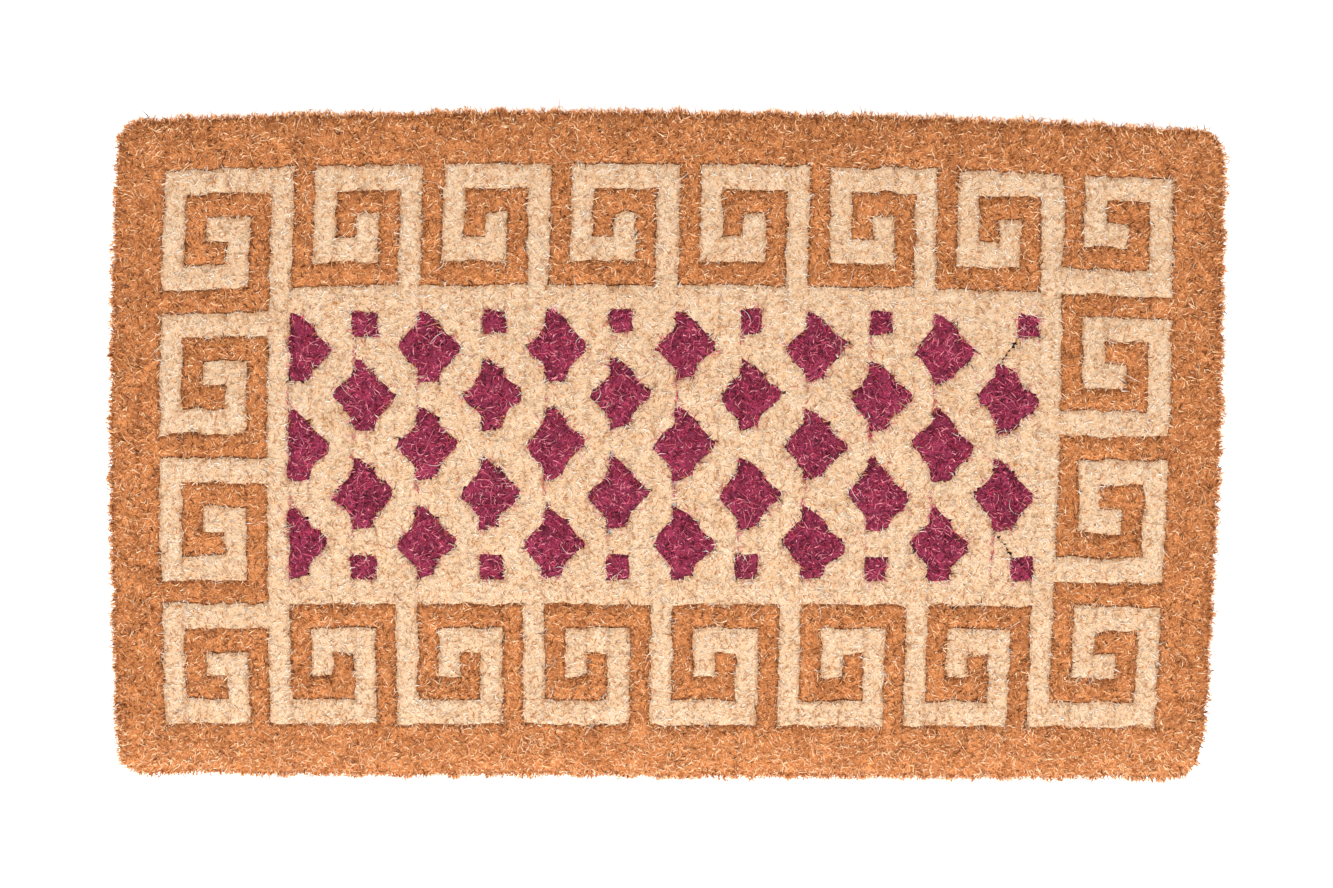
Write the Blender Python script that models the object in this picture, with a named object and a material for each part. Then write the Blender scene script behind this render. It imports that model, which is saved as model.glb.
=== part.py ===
"""Handwoven coir door mat with a key-pattern border and plum lozenges.

Lengths are metres, +X runs along the chains (the long way), +Y towards the
far edge, +Z up.  The mat rests on Z = 0 with its middle over the origin.
The design is laid out in cells: columns are the weft rows of tufts, counted
from the left, and rows are the warp chains, counted from the far edge.
"""
import math

import bmesh
import bpy
from mathutils import Vector

# --- the design grid -------------------------------------------------------
COLUMNS = 47                # tuft columns in the key pattern
ROWS = 23                   # tuft rows in the key pattern
COLUMN_PITCH = 0.01463      # from one weft row to the next
KEY_LEFT = -0.3421          # left side of the key pattern, at its far and near ends
KEY_TOP = 0.1915            # far side of the key pattern, at mid length
KEY_BOTTOM = -0.1890        # near side of the key pattern, at mid length
BORDER_COLUMNS = 2.45       # plain border beyond the key at each end, in columns
BORDER_ROWS = 2.30          # plain border beyond the key at each side, in rows

# --- how the hand-woven cloth drifts from square ---------------------------
TOP_TILT = 0.0088           # fall of the far side towards the right, per metre
TOP_BOW = 0.0080            # how far the far side drops at its two ends
BOTTOM_TILT = 0.0040        # fall of the near side towards the right, per metre
HALF_KEY = 0.345            # half length over which the bow is reached
RIGHT_PULL = 0.0125         # how far the near right corner is drawn in
PULL_FROM = 0.040           # where along Y that drawing-in begins
PULL_CURVE = 1.3            # how late it comes on
SIDE_BOW = 0.0041           # how far the leftmost weft row bows out at mid width
BOW_EASES = 0.5             # how much less the rightmost one bows
WAVER = 0.0020              # side to side waver of the weft rows at the right end
WAVER_LENGTH = 23.0         # length of one waver, in columns
WAVER_CREST = 30.3          # the column where it is furthest right
NEAR_SAG = 0.0024           # how far the rows near the near side hang below even spacing
SAG_FROM = 0.45             # where that begins and over how much of the width it lasts
SAG_OVER = 0.75
RIGHT_RISE = 0.0024         # how far the chains bow up at the right end

# --- pile ------------------------------------------------------------------
MAT_THICK = 0.038           # floor to the sheared top of the pile
PILE_FOOT = 0.00835         # underside of the pile, just above the weft cord
OUTER_CORNER = 1.25         # corner rounding of the pile, in cells
OUTER_SPLAY = 0.005         # how far the outer tufts lean out over the braid
FOOT_GAP = 0.0002           # each colour keeps this far from the line between colours
TOP_CARVE = 0.0013          # each colour is carved back this far at the top
PLUM_CARVE = 0.0003         # the dyed islands are carved back less

# --- plum lozenges, in cells -----------------------------------------------
YARN_HALF = 0.05            # half width of the plum tufting carried between islands
LOZENGE_ROWS = (7.5, 11.5, 15.5)
BETWEEN_ROWS = (9.5, 13.5)
SQUARE_ROWS = (6.5, 16.5)
FIRST_LATTICE_COLUMN = 6
LATTICE_STEP = 3
LATTICE_COLUMNS = 12
LOZENGE_HALF = 1.5          # half the height of a lozenge
LOZENGE_RIGHT = (           # down its right side, from its middle
    (0.35, -1.42), (1.0, -0.95), (1.2, -0.60), (1.92, -0.10),
    (1.85, 0.25), (1.1, 0.85), (0.9, 1.35),
)
LOZENGE_LEFT = (            # and up its left side
    (-0.06, 1.00), (-0.92, 0.10), (-0.78, -0.18), (-0.06, -0.85),
)
SQUARE_HALF = 0.56          # the same for a small square
SQUARE_RIGHT = ((1.02, -0.48), (1.06, 0.46))
SQUARE_LEFT = ((-0.06, 0.40), (-0.06, -0.36))
UNEVEN = 0.09               # how unevenly the islands are cut
UNEVEN_STEP = 12.9898       # spreads neighbouring points over the sine that shifts them
UNEVEN_START = 4.1

# --- weave -----------------------------------------------------------------
CHAIN_WIDTH = 0.0060
CHAIN_HEIGHT = 0.0046
CHAIN_FACET = 0.0018        # half width of the flat it rests on
CHAIN_SHOULDER = 0.22       # where its sides turn upright, as a share of its height
OUTER_CHAINS = (0.42, 1.30)  # border chains, in rows beyond the key
OUTER_WEFTS = (0.45, 1.35)  # border weft rows, in columns beyond the key
CHAIN_END = 1.60            # chains stop this many columns beyond the key
CHAIN_POINTS = 4
WEFT_RADIUS = 0.0015
WEFT_CENTRE = 0.00645
WEFT_TURN_IN = 1.15         # where a pass starts to turn, in rows beyond the key
WEFT_TURN_OUT = 1.38        # how far out the turn reaches
WEFT_TURN_SHARE = 0.22      # how far each side of a turn leans to the other, of the pitch
WEFT_POINTS = 4             # points along one pass, which bows with the cloth

# --- edge braid and its stitching ------------------------------------------
BRAID_COLUMNS = 2.05        # braid centre line, in columns beyond the key
BRAID_ROWS = 1.85           # braid centre line, in rows beyond the key
BRAID_CORNER = 0.58         # its corner rounding, in cells
BRAID_CENTRE = 0.0040       # height of its middle
BRAID_HALF_WIDTH = 0.0032
BRAID_HALF_HEIGHT = 0.0024
STITCH_RADIUS = 0.0006
STITCH_CLEAR = 0.0004
STITCH_FLARE = 1.25         # extra room at the pointed sides of the braid
STITCHES = 92

# --- the key pattern, one letter a cell: # bleached, . natural -------------
TOP_UNIT = ("#####", "#...#", "#.#.#", "###.#", "....#")
SIDE_UNIT = ("#####", "#....", "#.##.", "#..#.", "####.")
TOP_UNIT_COLUMNS = (7, 13, 19, 25, 31, 37)
SIDE_UNIT_ROWS = (0, 6, 12, 18)
FIELD_COLUMNS = (5, 42)
FIELD_ROWS = (5, 18)

MATERIALS = {
    "coir_natural": ((0.546, 0.205, 0.080), 0.90),
    "coir_bleached": ((0.838, 0.552, 0.342), 0.90),
    "coir_plum": ((0.314, 0.048, 0.084), 0.85),
    "coir_chain_yarn": ((0.402, 0.176, 0.070), 0.90),
    "coir_weft_yarn": ((0.460, 0.230, 0.105), 0.90),
    "coir_braid": ((0.360, 0.150, 0.058), 0.90),
    "jute_twine": ((0.560, 0.380, 0.210), 0.85),
}


def clear_objects():
    for old in list(bpy.data.objects):
        bpy.data.objects.remove(old, do_unlink=True)


def make_materials():
    made = {}
    for name, (colour, roughness) in MATERIALS.items():
        material = bpy.data.materials.new(name)
        material.use_nodes = True
        shader = material.node_tree.nodes["Principled BSDF"]
        shader.inputs["Base Color"].default_value = (*colour, 1.0)
        shader.inputs["Roughness"].default_value = roughness
        shader.inputs["Metallic"].default_value = 0.0
        made[name] = material
    return made


def link(name, data, material):
    """Put one named body of the mat into the scene in its own material."""
    data.materials.append(material)
    body = bpy.data.objects.new(name, data)
    bpy.context.scene.collection.objects.link(body)


def place(column, row):
    """Where a point of the design lies on the drifting hand-woven mat."""
    across = column / COLUMNS
    down = row / ROWS
    x = KEY_LEFT + column * COLUMN_PITCH
    y = KEY_TOP + (KEY_BOTTOM - KEY_TOP) * down
    late = max(0.0, (PULL_FROM - y) / (PULL_FROM - KEY_BOTTOM)) ** PULL_CURVE
    bow = SIDE_BOW * (1 - BOW_EASES * across) * 4 * down * (1 - down)
    turn = 2 * math.pi * (column - WAVER_CREST) / WAVER_LENGTH
    waver = WAVER * across ** 2 * math.cos(turn)
    pulled = x - RIGHT_PULL * late * max(0.0, across) - bow + waver
    top = KEY_TOP - TOP_TILT * x - TOP_BOW * (x / HALF_KEY) ** 2
    bottom = KEY_BOTTOM - BOTTOM_TILT * x
    sagging = min(max((down - SAG_FROM) / SAG_OVER, 0.0), 1.0)
    sag = NEAR_SAG * math.sin(math.pi * sagging)
    rise = RIGHT_RISE * max(0.0, across) ** 3 * math.sin(math.pi * down)
    return Vector((pulled, top + (bottom - top) * down - sag + rise))


def rounded_outline(columns_out, rows_out, corner, along=12, around=4):
    """A ring of cells round the key, anticlockwise, with rounded corners."""
    left = -columns_out
    right = COLUMNS + columns_out
    top = -rows_out
    bottom = ROWS + rows_out
    middles = (
        (left + corner, bottom - corner, 180),
        (right - corner, bottom - corner, 270),
        (right - corner, top + corner, 0),
        (left + corner, top + corner, 90),
    )
    cells = []
    for index, (column, row, start) in enumerate(middles):
        for step in range(around + 1):
            angle = math.radians(start + 90 * step / around)
            cells.append((column + corner * math.cos(angle), row - corner * math.sin(angle)))
        last = cells[-1]
        column, row, start = middles[(index + 1) % 4]
        angle = math.radians(start)
        first = (column + corner * math.cos(angle), row - corner * math.sin(angle))
        for step in range(1, along):
            share = step / along
            cells.append(tuple(a + (b - a) * share for a, b in zip(last, first)))
    return [place(*cell) for cell in cells]


def bleached_cells():
    """Every cell of the bleached key and field, the dyed islands included."""
    cells = set()
    units = [(TOP_UNIT, column, 0) for column in TOP_UNIT_COLUMNS]
    units += [(SIDE_UNIT, 0, row) for row in SIDE_UNIT_ROWS]
    for unit, column, row in units:
        for down, letters in enumerate(unit):
            for right, letter in enumerate(letters):
                if letter == "#":
                    cells.add((column + right, row + down))
    for row in range(ROWS):
        cells.add((FIELD_COLUMNS[0], row))
    for column in range(*FIELD_COLUMNS):
        for row in range(*FIELD_ROWS):
            cells.add((column, row))
    turned = {(COLUMNS - 1 - column, ROWS - 1 - row) for column, row in cells}
    return cells | turned


def key_ring(cells):
    """The line between bleached and natural pile, anticlockwise round the bleached."""
    following = {}
    for column, row in cells:
        sides = (
            ((column, row + 1), (column + 1, row + 1), (column, row + 1)),
            ((column + 1, row + 1), (column + 1, row), (column + 1, row)),
            ((column + 1, row), (column, row), (column, row - 1)),
            ((column, row), (column, row + 1), (column - 1, row)),
        )
        for start, end, neighbour in sides:
            if neighbour not in cells:
                following[start] = end
    start = min(following)
    ring = [start]
    while following[ring[-1]] != start:
        ring.append(following[ring[-1]])
    corners = []
    for before, here, after in zip(ring[-1:] + ring[:-1], ring, ring[1:] + ring[:1]):
        if (here[0] - before[0], here[1] - before[1]) != (after[0] - here[0], after[1] - here[1]):
            corners.append(here)
    return [place(*cell) for cell in corners]


def uneven(number):
    """A steady little irregularity of hand cutting."""
    return UNEVEN * math.sin(number * UNEVEN_STEP + UNEVEN_START)


def island(column, row, right, left, half):
    """Right side going down, then left side going up, of one island in cells."""
    seed = column * 7 + row * 3
    down = [(YARN_HALF, -half)]
    for i, (c, r) in enumerate(right):
        down.append((c + uneven(seed + i), r + uneven(seed + i + 0.5)))
    down.append((YARN_HALF, half))
    up = [(-YARN_HALF, half)]
    for i, (c, r) in enumerate(left):
        up.append((c - abs(uneven(seed - i)), r + uneven(seed - i - 0.5)))
    up.append((-YARN_HALF, -half))
    return moved_cells(down, column, row), moved_cells(up, column, row)


def moved_cells(cells, column, row):
    """Cells given from an island's middle, moved to where that middle is."""
    return [(column + c, row + r) for c, r in cells]


def lozenge(column, row):
    """One lozenge; those of the first column are cut off straight on their left."""
    left = () if column == FIRST_LATTICE_COLUMN else LOZENGE_LEFT
    return island(column, row, LOZENGE_RIGHT, left, LOZENGE_HALF)


def square(column, row):
    return island(column, row, SQUARE_RIGHT, SQUARE_LEFT, SQUARE_HALF)


def lattice_ring(number):
    """One weft band of dyed islands, joined by the plum carried between them."""
    column = FIRST_LATTICE_COLUMN + LATTICE_STEP * number
    if number % 2 == 0:
        islands = [lozenge(column, row) for row in LOZENGE_ROWS]
    else:
        aside = column + 1 if number == LATTICE_COLUMNS - 1 else column
        islands = [lozenge(column, row) for row in BETWEEN_ROWS]
        islands.insert(0, square(aside, SQUARE_ROWS[0]))
        islands.append(square(aside, SQUARE_ROWS[1]))
    down = [cell for right, _ in islands for cell in right]
    up = [cell for _, left in reversed(islands) for cell in left]
    ring = [place(*cell) for cell in down + up]
    ring.reverse()
    return ring


def inset(ring, distance):
    """The ring moved to its own left by a distance, with mitred corners."""
    moved = []
    for before, here, after in zip(ring[-1:] + ring[:-1], ring, ring[1:] + ring[:1]):
        first = (here - before).normalized()
        second = (after - here).normalized()
        normal_a = Vector((-first.y, first.x))
        normal_b = Vector((-second.y, second.x))
        mitre = (normal_a + normal_b) / (1.0 + normal_a.dot(normal_b))
        moved.append(here + mitre * distance)
    return moved


def turned(ring):
    return list(reversed(ring))


def raise_wall(work, foot, top):
    """Extrude one ring from the foot of the pile to its top; gives the edges of both."""
    points = [work.verts.new((p.x, p.y, PILE_FOOT)) for p in foot]
    foot_edges = [work.edges.new(ends) for ends in zip(points, points[1:] + points[:1])]
    raised = bmesh.ops.extrude_edge_only(work, edges=foot_edges)["geom"]
    low = set(points)
    for point, target in zip(points, top):
        above = [e.other_vert(point) for e in point.link_edges if e.other_vert(point) not in low]
        above[0].co = (target.x, target.y, MAT_THICK)
    new_edges = [item for item in raised if isinstance(item, bmesh.types.BMEdge)]
    top_edges = [edge for edge in new_edges if low.isdisjoint(edge.verts)]
    return foot_edges, top_edges


def pile_body(name, foot_rings, top_rings, material):
    """Pile raised from the rings of its foot to the rings of its sheared top."""
    work = bmesh.new()
    foot_edges = []
    top_edges = []
    for foot, top in zip(foot_rings, top_rings):
        foot_loop, top_loop = raise_wall(work, foot, top)
        foot_edges.extend(foot_loop)
        top_edges.extend(top_loop)
    bmesh.ops.triangle_fill(work, use_beauty=True, edges=foot_edges)
    bmesh.ops.triangle_fill(work, use_beauty=True, edges=top_edges)
    bmesh.ops.recalc_face_normals(work, faces=work.faces)
    mesh = bpy.data.meshes.new(name)
    work.to_mesh(mesh)
    work.free()
    link(name, mesh, material)


def build_pile(materials):
    outline = rounded_outline(BORDER_COLUMNS, BORDER_ROWS, OUTER_CORNER)
    key = key_ring(bleached_cells())
    lattice = [lattice_ring(number) for number in range(LATTICE_COLUMNS)]
    pile_body(
        "natural_pile",
        [inset(outline, OUTER_SPLAY), inset(turned(key), FOOT_GAP)],
        [outline, inset(turned(key), TOP_CARVE)],
        materials["coir_natural"],
    )
    holes = [turned(ring) for ring in lattice]
    pile_body(
        "bleached_pile",
        [inset(key, FOOT_GAP)] + [inset(ring, FOOT_GAP) for ring in holes],
        [inset(key, TOP_CARVE)] + [inset(ring, TOP_CARVE) for ring in holes],
        materials["coir_bleached"],
    )
    for number, ring in enumerate(lattice):
        pile_body(
            f"plum_pile_{number + 1:02d}",
            [inset(ring, FOOT_GAP)],
            [inset(ring, PLUM_CARVE)],
            materials["coir_plum"],
        )


def chain_rows():
    inner = [row + 0.5 for row in range(ROWS)]
    before = [-out for out in reversed(OUTER_CHAINS)]
    after = [ROWS + out for out in OUTER_CHAINS]
    return before + inner + after


def weft_columns():
    inner = [column + 0.5 for column in range(COLUMNS)]
    before = [-out for out in reversed(OUTER_WEFTS)]
    after = [COLUMNS + out for out in OUTER_WEFTS]
    return before + inner + after


def poly_spline(curve, points, closed):
    spline = curve.splines.new("POLY")
    spline.points.add(len(points) - 1)
    for target, point in zip(spline.points, points):
        target.co = (*point, 1.0)
    spline.use_cyclic_u = closed


def section_guide(name, outline):
    """A flat closed outline, clockwise, that yarn is drawn along; not part of the mat."""
    curve = bpy.data.curves.new(name, "CURVE")
    curve.dimensions = "2D"
    curve.fill_mode = "NONE"
    poly_spline(curve, [(x, y, 0.0) for x, y in reversed(outline)], True)
    guide = bpy.data.objects.new(name, curve)
    guide.hide_render = True
    guide.display_type = "WIRE"
    bpy.context.scene.collection.objects.link(guide)
    return guide


def yarn(name, points, closed, material):
    """A yarn along a path of points, kept level, with its ends closed."""
    curve = bpy.data.curves.new(name, "CURVE")
    curve.dimensions = "3D"
    curve.twist_mode = "Z_UP"
    curve.use_fill_caps = not closed
    poly_spline(curve, points, closed)
    link(name, curve, material)
    return curve


def build_chains(materials):
    """Warp chains side by side, each a flattened yarn resting on the floor."""
    half = CHAIN_WIDTH / 2
    low = CHAIN_HEIGHT * CHAIN_SHOULDER
    high = CHAIN_HEIGHT / 2
    guide = section_guide("chain_section", (
        (CHAIN_FACET, -high), (half, -low), (half, low), (CHAIN_FACET, high),
        (-CHAIN_FACET, high), (-half, low), (-half, -low), (-CHAIN_FACET, -high),
    ))
    for number, row in enumerate(chain_rows()):
        points = []
        for step in range(CHAIN_POINTS):
            share = step / (CHAIN_POINTS - 1)
            middle = place(-CHAIN_END + (COLUMNS + 2 * CHAIN_END) * share, row)
            points.append((middle.x, middle.y, high))
        curve = yarn(f"warp_chain_{number + 1:02d}", points, False, materials["coir_chain_yarn"])
        curve.bevel_mode = "OBJECT"
        curve.bevel_object = guide


def weft_path():
    """The weft cord goes up one column and down the next, edge to edge."""
    columns = weft_columns()
    far = -WEFT_TURN_IN
    near = ROWS + WEFT_TURN_IN
    reach = WEFT_TURN_OUT - WEFT_TURN_IN
    cells = []
    for number, column in enumerate(columns):
        start, end = (near, far) if number % 2 == 0 else (far, near)
        beyond = reach if start == near else -reach
        if number > 0:
            step = column - columns[number - 1]
            cells.append((column - WEFT_TURN_SHARE * step, start + beyond))
        for point in range(WEFT_POINTS):
            cells.append((column, start + (end - start) * point / (WEFT_POINTS - 1)))
        if number < len(columns) - 1:
            step = columns[number + 1] - column
            cells.append((column + WEFT_TURN_SHARE * step, end - beyond))
    return [place(*cell) for cell in cells]


def build_weft(materials):
    points = [(p.x, p.y, WEFT_CENTRE) for p in weft_path()]
    curve = yarn("weft_cord", points, False, materials["coir_weft_yarn"])
    curve.bevel_depth = WEFT_RADIUS
    curve.bevel_resolution = 1


def braid_path():
    return rounded_outline(BRAID_COLUMNS, BRAID_ROWS, BRAID_CORNER, around=5)


def build_braid(materials):
    """The plait laid round the edge, as a flat six-sided cord."""
    wide = BRAID_HALF_WIDTH
    high = BRAID_HALF_HEIGHT
    guide = section_guide("braid_section", (
        (wide, 0.0), (wide / 2, high), (-wide / 2, high),
        (-wide, 0.0), (-wide / 2, -high), (wide / 2, -high),
    ))
    points = [(p.x, p.y, BRAID_CENTRE) for p in braid_path()]
    curve = yarn("edge_braid", points, True, materials["coir_braid"])
    curve.bevel_mode = "OBJECT"
    curve.bevel_object = guide


def sideways(path):
    """Direction pointing to the left of a closed path at each of its points."""
    sides = []
    for before, here, after in zip(path[-1:] + path[:-1], path, path[1:] + path[:1]):
        heading = (here - before).normalized() + (after - here).normalized()
        sides.append(Vector((-heading.y, heading.x)).normalized())
    return sides


def along_path(path, sides, share):
    """Point and sideways direction at a share of a closed path's length."""
    lengths = [(b - a).length for a, b in zip(path, path[1:] + path[:1])]
    wanted = share * sum(lengths)
    i = 0
    while wanted > lengths[i]:
        wanted -= lengths[i]
        i += 1
    mix = wanted / lengths[i]
    after = (i + 1) % len(path)
    return path[i].lerp(path[after], mix), sides[i].lerp(sides[after], mix)


def build_stitching(materials):
    """One twine whipped round and round the braid, back to where it began."""
    path = braid_path()
    sides = sideways(path)
    outside = STITCH_CLEAR + STITCH_RADIUS
    wide = BRAID_HALF_WIDTH + outside * STITCH_FLARE
    high = BRAID_HALF_HEIGHT + outside
    turn = ((1.0, 0.0), (0.5, 1.0), (-0.5, 1.0), (-1.0, 0.0), (-0.5, -1.0), (0.5, -1.0))
    total = STITCHES * len(turn)
    points = []
    for number in range(total):
        across, up = turn[number % len(turn)]
        here, side = along_path(path, sides, number / total)
        flat = here + side * wide * across
        points.append((flat.x, flat.y, BRAID_CENTRE + high * up))
    curve = yarn("edge_stitching", points, True, materials["jute_twine"])
    curve.twist_mode = "MINIMUM"
    curve.bevel_depth = STITCH_RADIUS
    curve.bevel_resolution = 0


def build():
    clear_objects()
    materials = make_materials()
    build_pile(materials)
    build_chains(materials)
    build_weft(materials)
    build_braid(materials)
    build_stitching(materials)


build()
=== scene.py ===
# %% [markdown]
# # A handwoven coir door mat
# The mat is a thick brush of coconut fibre.  Tufts in three shades - natural,
# bleached and dyed plum - are knotted row by row into a coarse weave, and the
# face is then sheared flat and carved along every colour line.  A plaited coir
# cord, whipped with twine, finishes the edge underneath.
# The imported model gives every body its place.  This lesson gives them fibre.

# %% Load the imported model
import math

import bmesh
import bpy
import numpy as np
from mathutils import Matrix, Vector, noise
from mathutils.bvhtree import BVHTree


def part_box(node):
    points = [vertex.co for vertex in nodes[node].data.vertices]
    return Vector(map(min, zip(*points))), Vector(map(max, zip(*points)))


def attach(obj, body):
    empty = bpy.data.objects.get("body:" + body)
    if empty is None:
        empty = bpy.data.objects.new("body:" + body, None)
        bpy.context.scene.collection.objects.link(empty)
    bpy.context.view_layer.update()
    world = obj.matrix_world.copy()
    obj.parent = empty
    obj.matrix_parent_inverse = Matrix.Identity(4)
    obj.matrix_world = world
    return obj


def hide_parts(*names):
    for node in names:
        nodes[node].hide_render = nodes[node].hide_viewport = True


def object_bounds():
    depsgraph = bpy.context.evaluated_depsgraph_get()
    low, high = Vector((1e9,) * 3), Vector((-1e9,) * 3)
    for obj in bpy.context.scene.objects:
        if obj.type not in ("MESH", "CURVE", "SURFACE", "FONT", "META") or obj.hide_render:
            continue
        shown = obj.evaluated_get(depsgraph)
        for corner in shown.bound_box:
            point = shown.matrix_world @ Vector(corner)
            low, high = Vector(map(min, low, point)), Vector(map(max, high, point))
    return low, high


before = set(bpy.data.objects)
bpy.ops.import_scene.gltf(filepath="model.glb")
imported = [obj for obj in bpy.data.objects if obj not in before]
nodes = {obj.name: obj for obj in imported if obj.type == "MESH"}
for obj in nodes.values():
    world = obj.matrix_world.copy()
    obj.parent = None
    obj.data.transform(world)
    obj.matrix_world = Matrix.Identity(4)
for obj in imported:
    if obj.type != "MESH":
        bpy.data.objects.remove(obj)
cad_low, cad_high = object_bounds()
print("bodies in the packed model:", len(nodes))
print("their box in mm:", [round(1000 * (b - a), 1) for a, b in zip(cad_low, cad_high)])

# %% [markdown]
# ## Camera, floor and light
# The mat is looked at from straight above, as a mat on the floor of a studio.
# The camera stands well back with a long lens, so that the sides of the pile
# hardly show.

# %% Set the camera
MAT_TOP = cad_high.z
VIEW_WIDTH = 0.9078         # how much of the floor the frame takes in, at the pile
CAMERA_RISE = 1.9           # camera above the pile
SENSOR = 36.0

camera_data = bpy.data.cameras.new("camera")
camera_data.sensor_width = SENSOR
camera_data.lens = SENSOR * CAMERA_RISE / VIEW_WIDTH
camera = bpy.data.objects.new("camera", camera_data)
camera.location = (-0.0006, 0.0007, MAT_TOP + CAMERA_RISE)
bpy.context.scene.collection.objects.link(camera)
bpy.context.scene.camera = camera
print("lens in mm:", round(camera_data.lens, 1))


# %% Helpers for new pieces and materials
def nothing_selected():
    """Back to object mode with nothing selected."""
    if bpy.context.object and bpy.context.object.mode != "OBJECT":
        bpy.ops.object.mode_set(mode="OBJECT")
    bpy.ops.object.select_all(action="DESELECT")


def name_piece(name):
    """Name the piece just added, and its mesh."""
    piece = bpy.context.object
    piece.name = name
    piece.data.name = name
    return piece


def shader_of(material):
    """The Principled shader of a material."""
    return material.node_tree.nodes["Principled BSDF"]


def new_material(name, roughness, specular=0.2):
    """A material with its own roughness and a faint gloss."""
    material = bpy.data.materials.new(name)
    material.use_nodes = True
    shader_of(material).inputs["Roughness"].default_value = roughness
    shader_of(material).inputs["Specular IOR Level"].default_value = specular
    return material


print("first helpers ready")

# %% Lay the floor
FLOOR_SIZE = 12.0
FLOOR_GLOW = 0.42           # lifts the paper to an even white

nothing_selected()
bpy.ops.mesh.primitive_plane_add(size=FLOOR_SIZE, location=(0, 0, 0))
floor = name_piece("floor")
paper = new_material("floor_paper", 0.9, 0.1)
paper_shader = shader_of(paper)
paper_shader.inputs["Base Color"].default_value = (0.97, 0.97, 0.97, 1)
paper_shader.inputs["Emission Color"].default_value = (1, 1, 1, 1)
paper_shader.inputs["Emission Strength"].default_value = FLOOR_GLOW
floor.data.materials.append(paper)
print("floor laid:", floor.name)

# %% [markdown]
# ## Light
# A pale sky all round gives the even light of a white studio, and one broad
# lamp on the near side rakes a little across the pile, so that the carved
# lines have a bright bank and a shaded bank.

# %% Light the studio
SKY_STRENGTH = 1.05
LAMP_POWER = 112.0
LAMP_SIZE = 1.4
LAMP_PLACE = (-0.15, -1.9, 1.9)

world = bpy.data.worlds.new("studio")
world.use_nodes = True
sky = world.node_tree.nodes["Background"]
sky.inputs["Color"].default_value = (1, 1, 1, 1)
sky.inputs["Strength"].default_value = SKY_STRENGTH
bpy.context.scene.world = world
bpy.context.scene.view_settings.view_transform = "Standard"

nothing_selected()
bpy.ops.object.light_add(type="AREA", location=LAMP_PLACE)
lamp = bpy.context.object
lamp.name = "near_lamp"
lamp.data.energy = LAMP_POWER
lamp.data.size = LAMP_SIZE
lamp.rotation_euler = (-Vector(LAMP_PLACE)).to_track_quat("-Z", "Y").to_euler()
print("sky and one lamp, which gives watts:", LAMP_POWER)

# %% [markdown]
# ## The weaver's grid
# The design is counted in cells: 47 columns of tufts one way and 23 rows the
# other.  Handwork drifts, so a cell's place on the mat is not quite square:
# the far side bows, the weft rows bow to the left and waver, and the near
# right corner is drawn in.

# %% The measures of the mat
COLUMNS = 47
ROWS = 23
COLUMN_PITCH = 0.01463
KEY_LEFT = -0.3421
KEY_TOP = 0.1915
KEY_BOTTOM = -0.1890
BORDER_COLUMNS = 2.45
BORDER_ROWS = 2.30
TOP_TILT = 0.0088
TOP_BOW = 0.0080
BOTTOM_TILT = 0.0040
HALF_KEY = 0.345
RIGHT_PULL = 0.0125
PULL_FROM = 0.040
PULL_CURVE = 1.3
SIDE_BOW = 0.0041
BOW_EASES = 0.5
WAVER = 0.0020
WAVER_LENGTH = 23.0
WAVER_CREST = 30.3
NEAR_SAG = 0.0024
SAG_FROM = 0.45
SAG_OVER = 0.75
RIGHT_RISE = 0.0024
print("key in mm:", round(1000 * COLUMNS * COLUMN_PITCH), round(1000 * (KEY_TOP - KEY_BOTTOM)))


# %% Where a cell lies
def place(column, row):
    """X and Y of points of the design, for numbers or for arrays of them."""
    column = np.asarray(column, float)
    across = column / COLUMNS
    down = np.asarray(row, float) / ROWS
    x = KEY_LEFT + column * COLUMN_PITCH
    y = KEY_TOP + (KEY_BOTTOM - KEY_TOP) * down
    late = np.maximum(0.0, (PULL_FROM - y) / (PULL_FROM - KEY_BOTTOM)) ** PULL_CURVE
    bow = SIDE_BOW * (1 - BOW_EASES * across) * 4 * down * (1 - down)
    waver = WAVER * across ** 2 * np.cos(2 * math.pi * (column - WAVER_CREST) / WAVER_LENGTH)
    pulled = x - RIGHT_PULL * late * np.maximum(0.0, across) - bow + waver
    top = KEY_TOP - TOP_TILT * x - TOP_BOW * (x / HALF_KEY) ** 2
    bottom = KEY_BOTTOM - BOTTOM_TILT * x
    sagging = np.clip((down - SAG_FROM) / SAG_OVER, 0.0, 1.0)
    sag = NEAR_SAG * np.sin(math.pi * sagging)
    rise = RIGHT_RISE * np.maximum(0.0, across) ** 3 * np.sin(math.pi * down)
    return pulled, top + (bottom - top) * down - sag + rise


print("first and last cell corners:", place(0, 0), place(COLUMNS, ROWS))

# %% [markdown]
# ## Which shade grows where
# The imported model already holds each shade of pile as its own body.  Looking
# straight down on those bodies tells the shade of the pile at any point.

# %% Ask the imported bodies
NATURAL = 0
BLEACHED = 1
PLUM = 2
OUTSIDE = 3
SHADE_NAMES = ("natural", "bleached", "plum")
plum_nodes = sorted(name for name in nodes if name.startswith("plum_pile"))
pile_nodes = {NATURAL: ["natural_pile"], BLEACHED: ["bleached_pile"], PLUM: plum_nodes}
DOWN = Vector((0, 0, -1))
WALL_SLOPE = 0.5            # a face whose normal rises less than this is a wall


def body_tree(names, walls_only=False):
    """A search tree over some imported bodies, or over their walls alone."""
    corners = []
    faces = []
    for name in names:
        start = len(corners)
        mesh = nodes[name].data
        corners.extend(vertex.co.copy() for vertex in mesh.vertices)
        for face in mesh.polygons:
            if not walls_only or abs(face.normal.z) < WALL_SLOPE:
                faces.append([start + i for i in face.vertices])
    return BVHTree.FromPolygons(corners, faces)


body_trees = {shade: body_tree(names) for shade, names in pile_nodes.items()}
print("bodies of pile:", sum(len(names) for names in pile_nodes.values()))

# %% Tell the shade at any point
CARRIED_WIDTH = 0.0011      # more than half the width of the plum carried between islands


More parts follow.
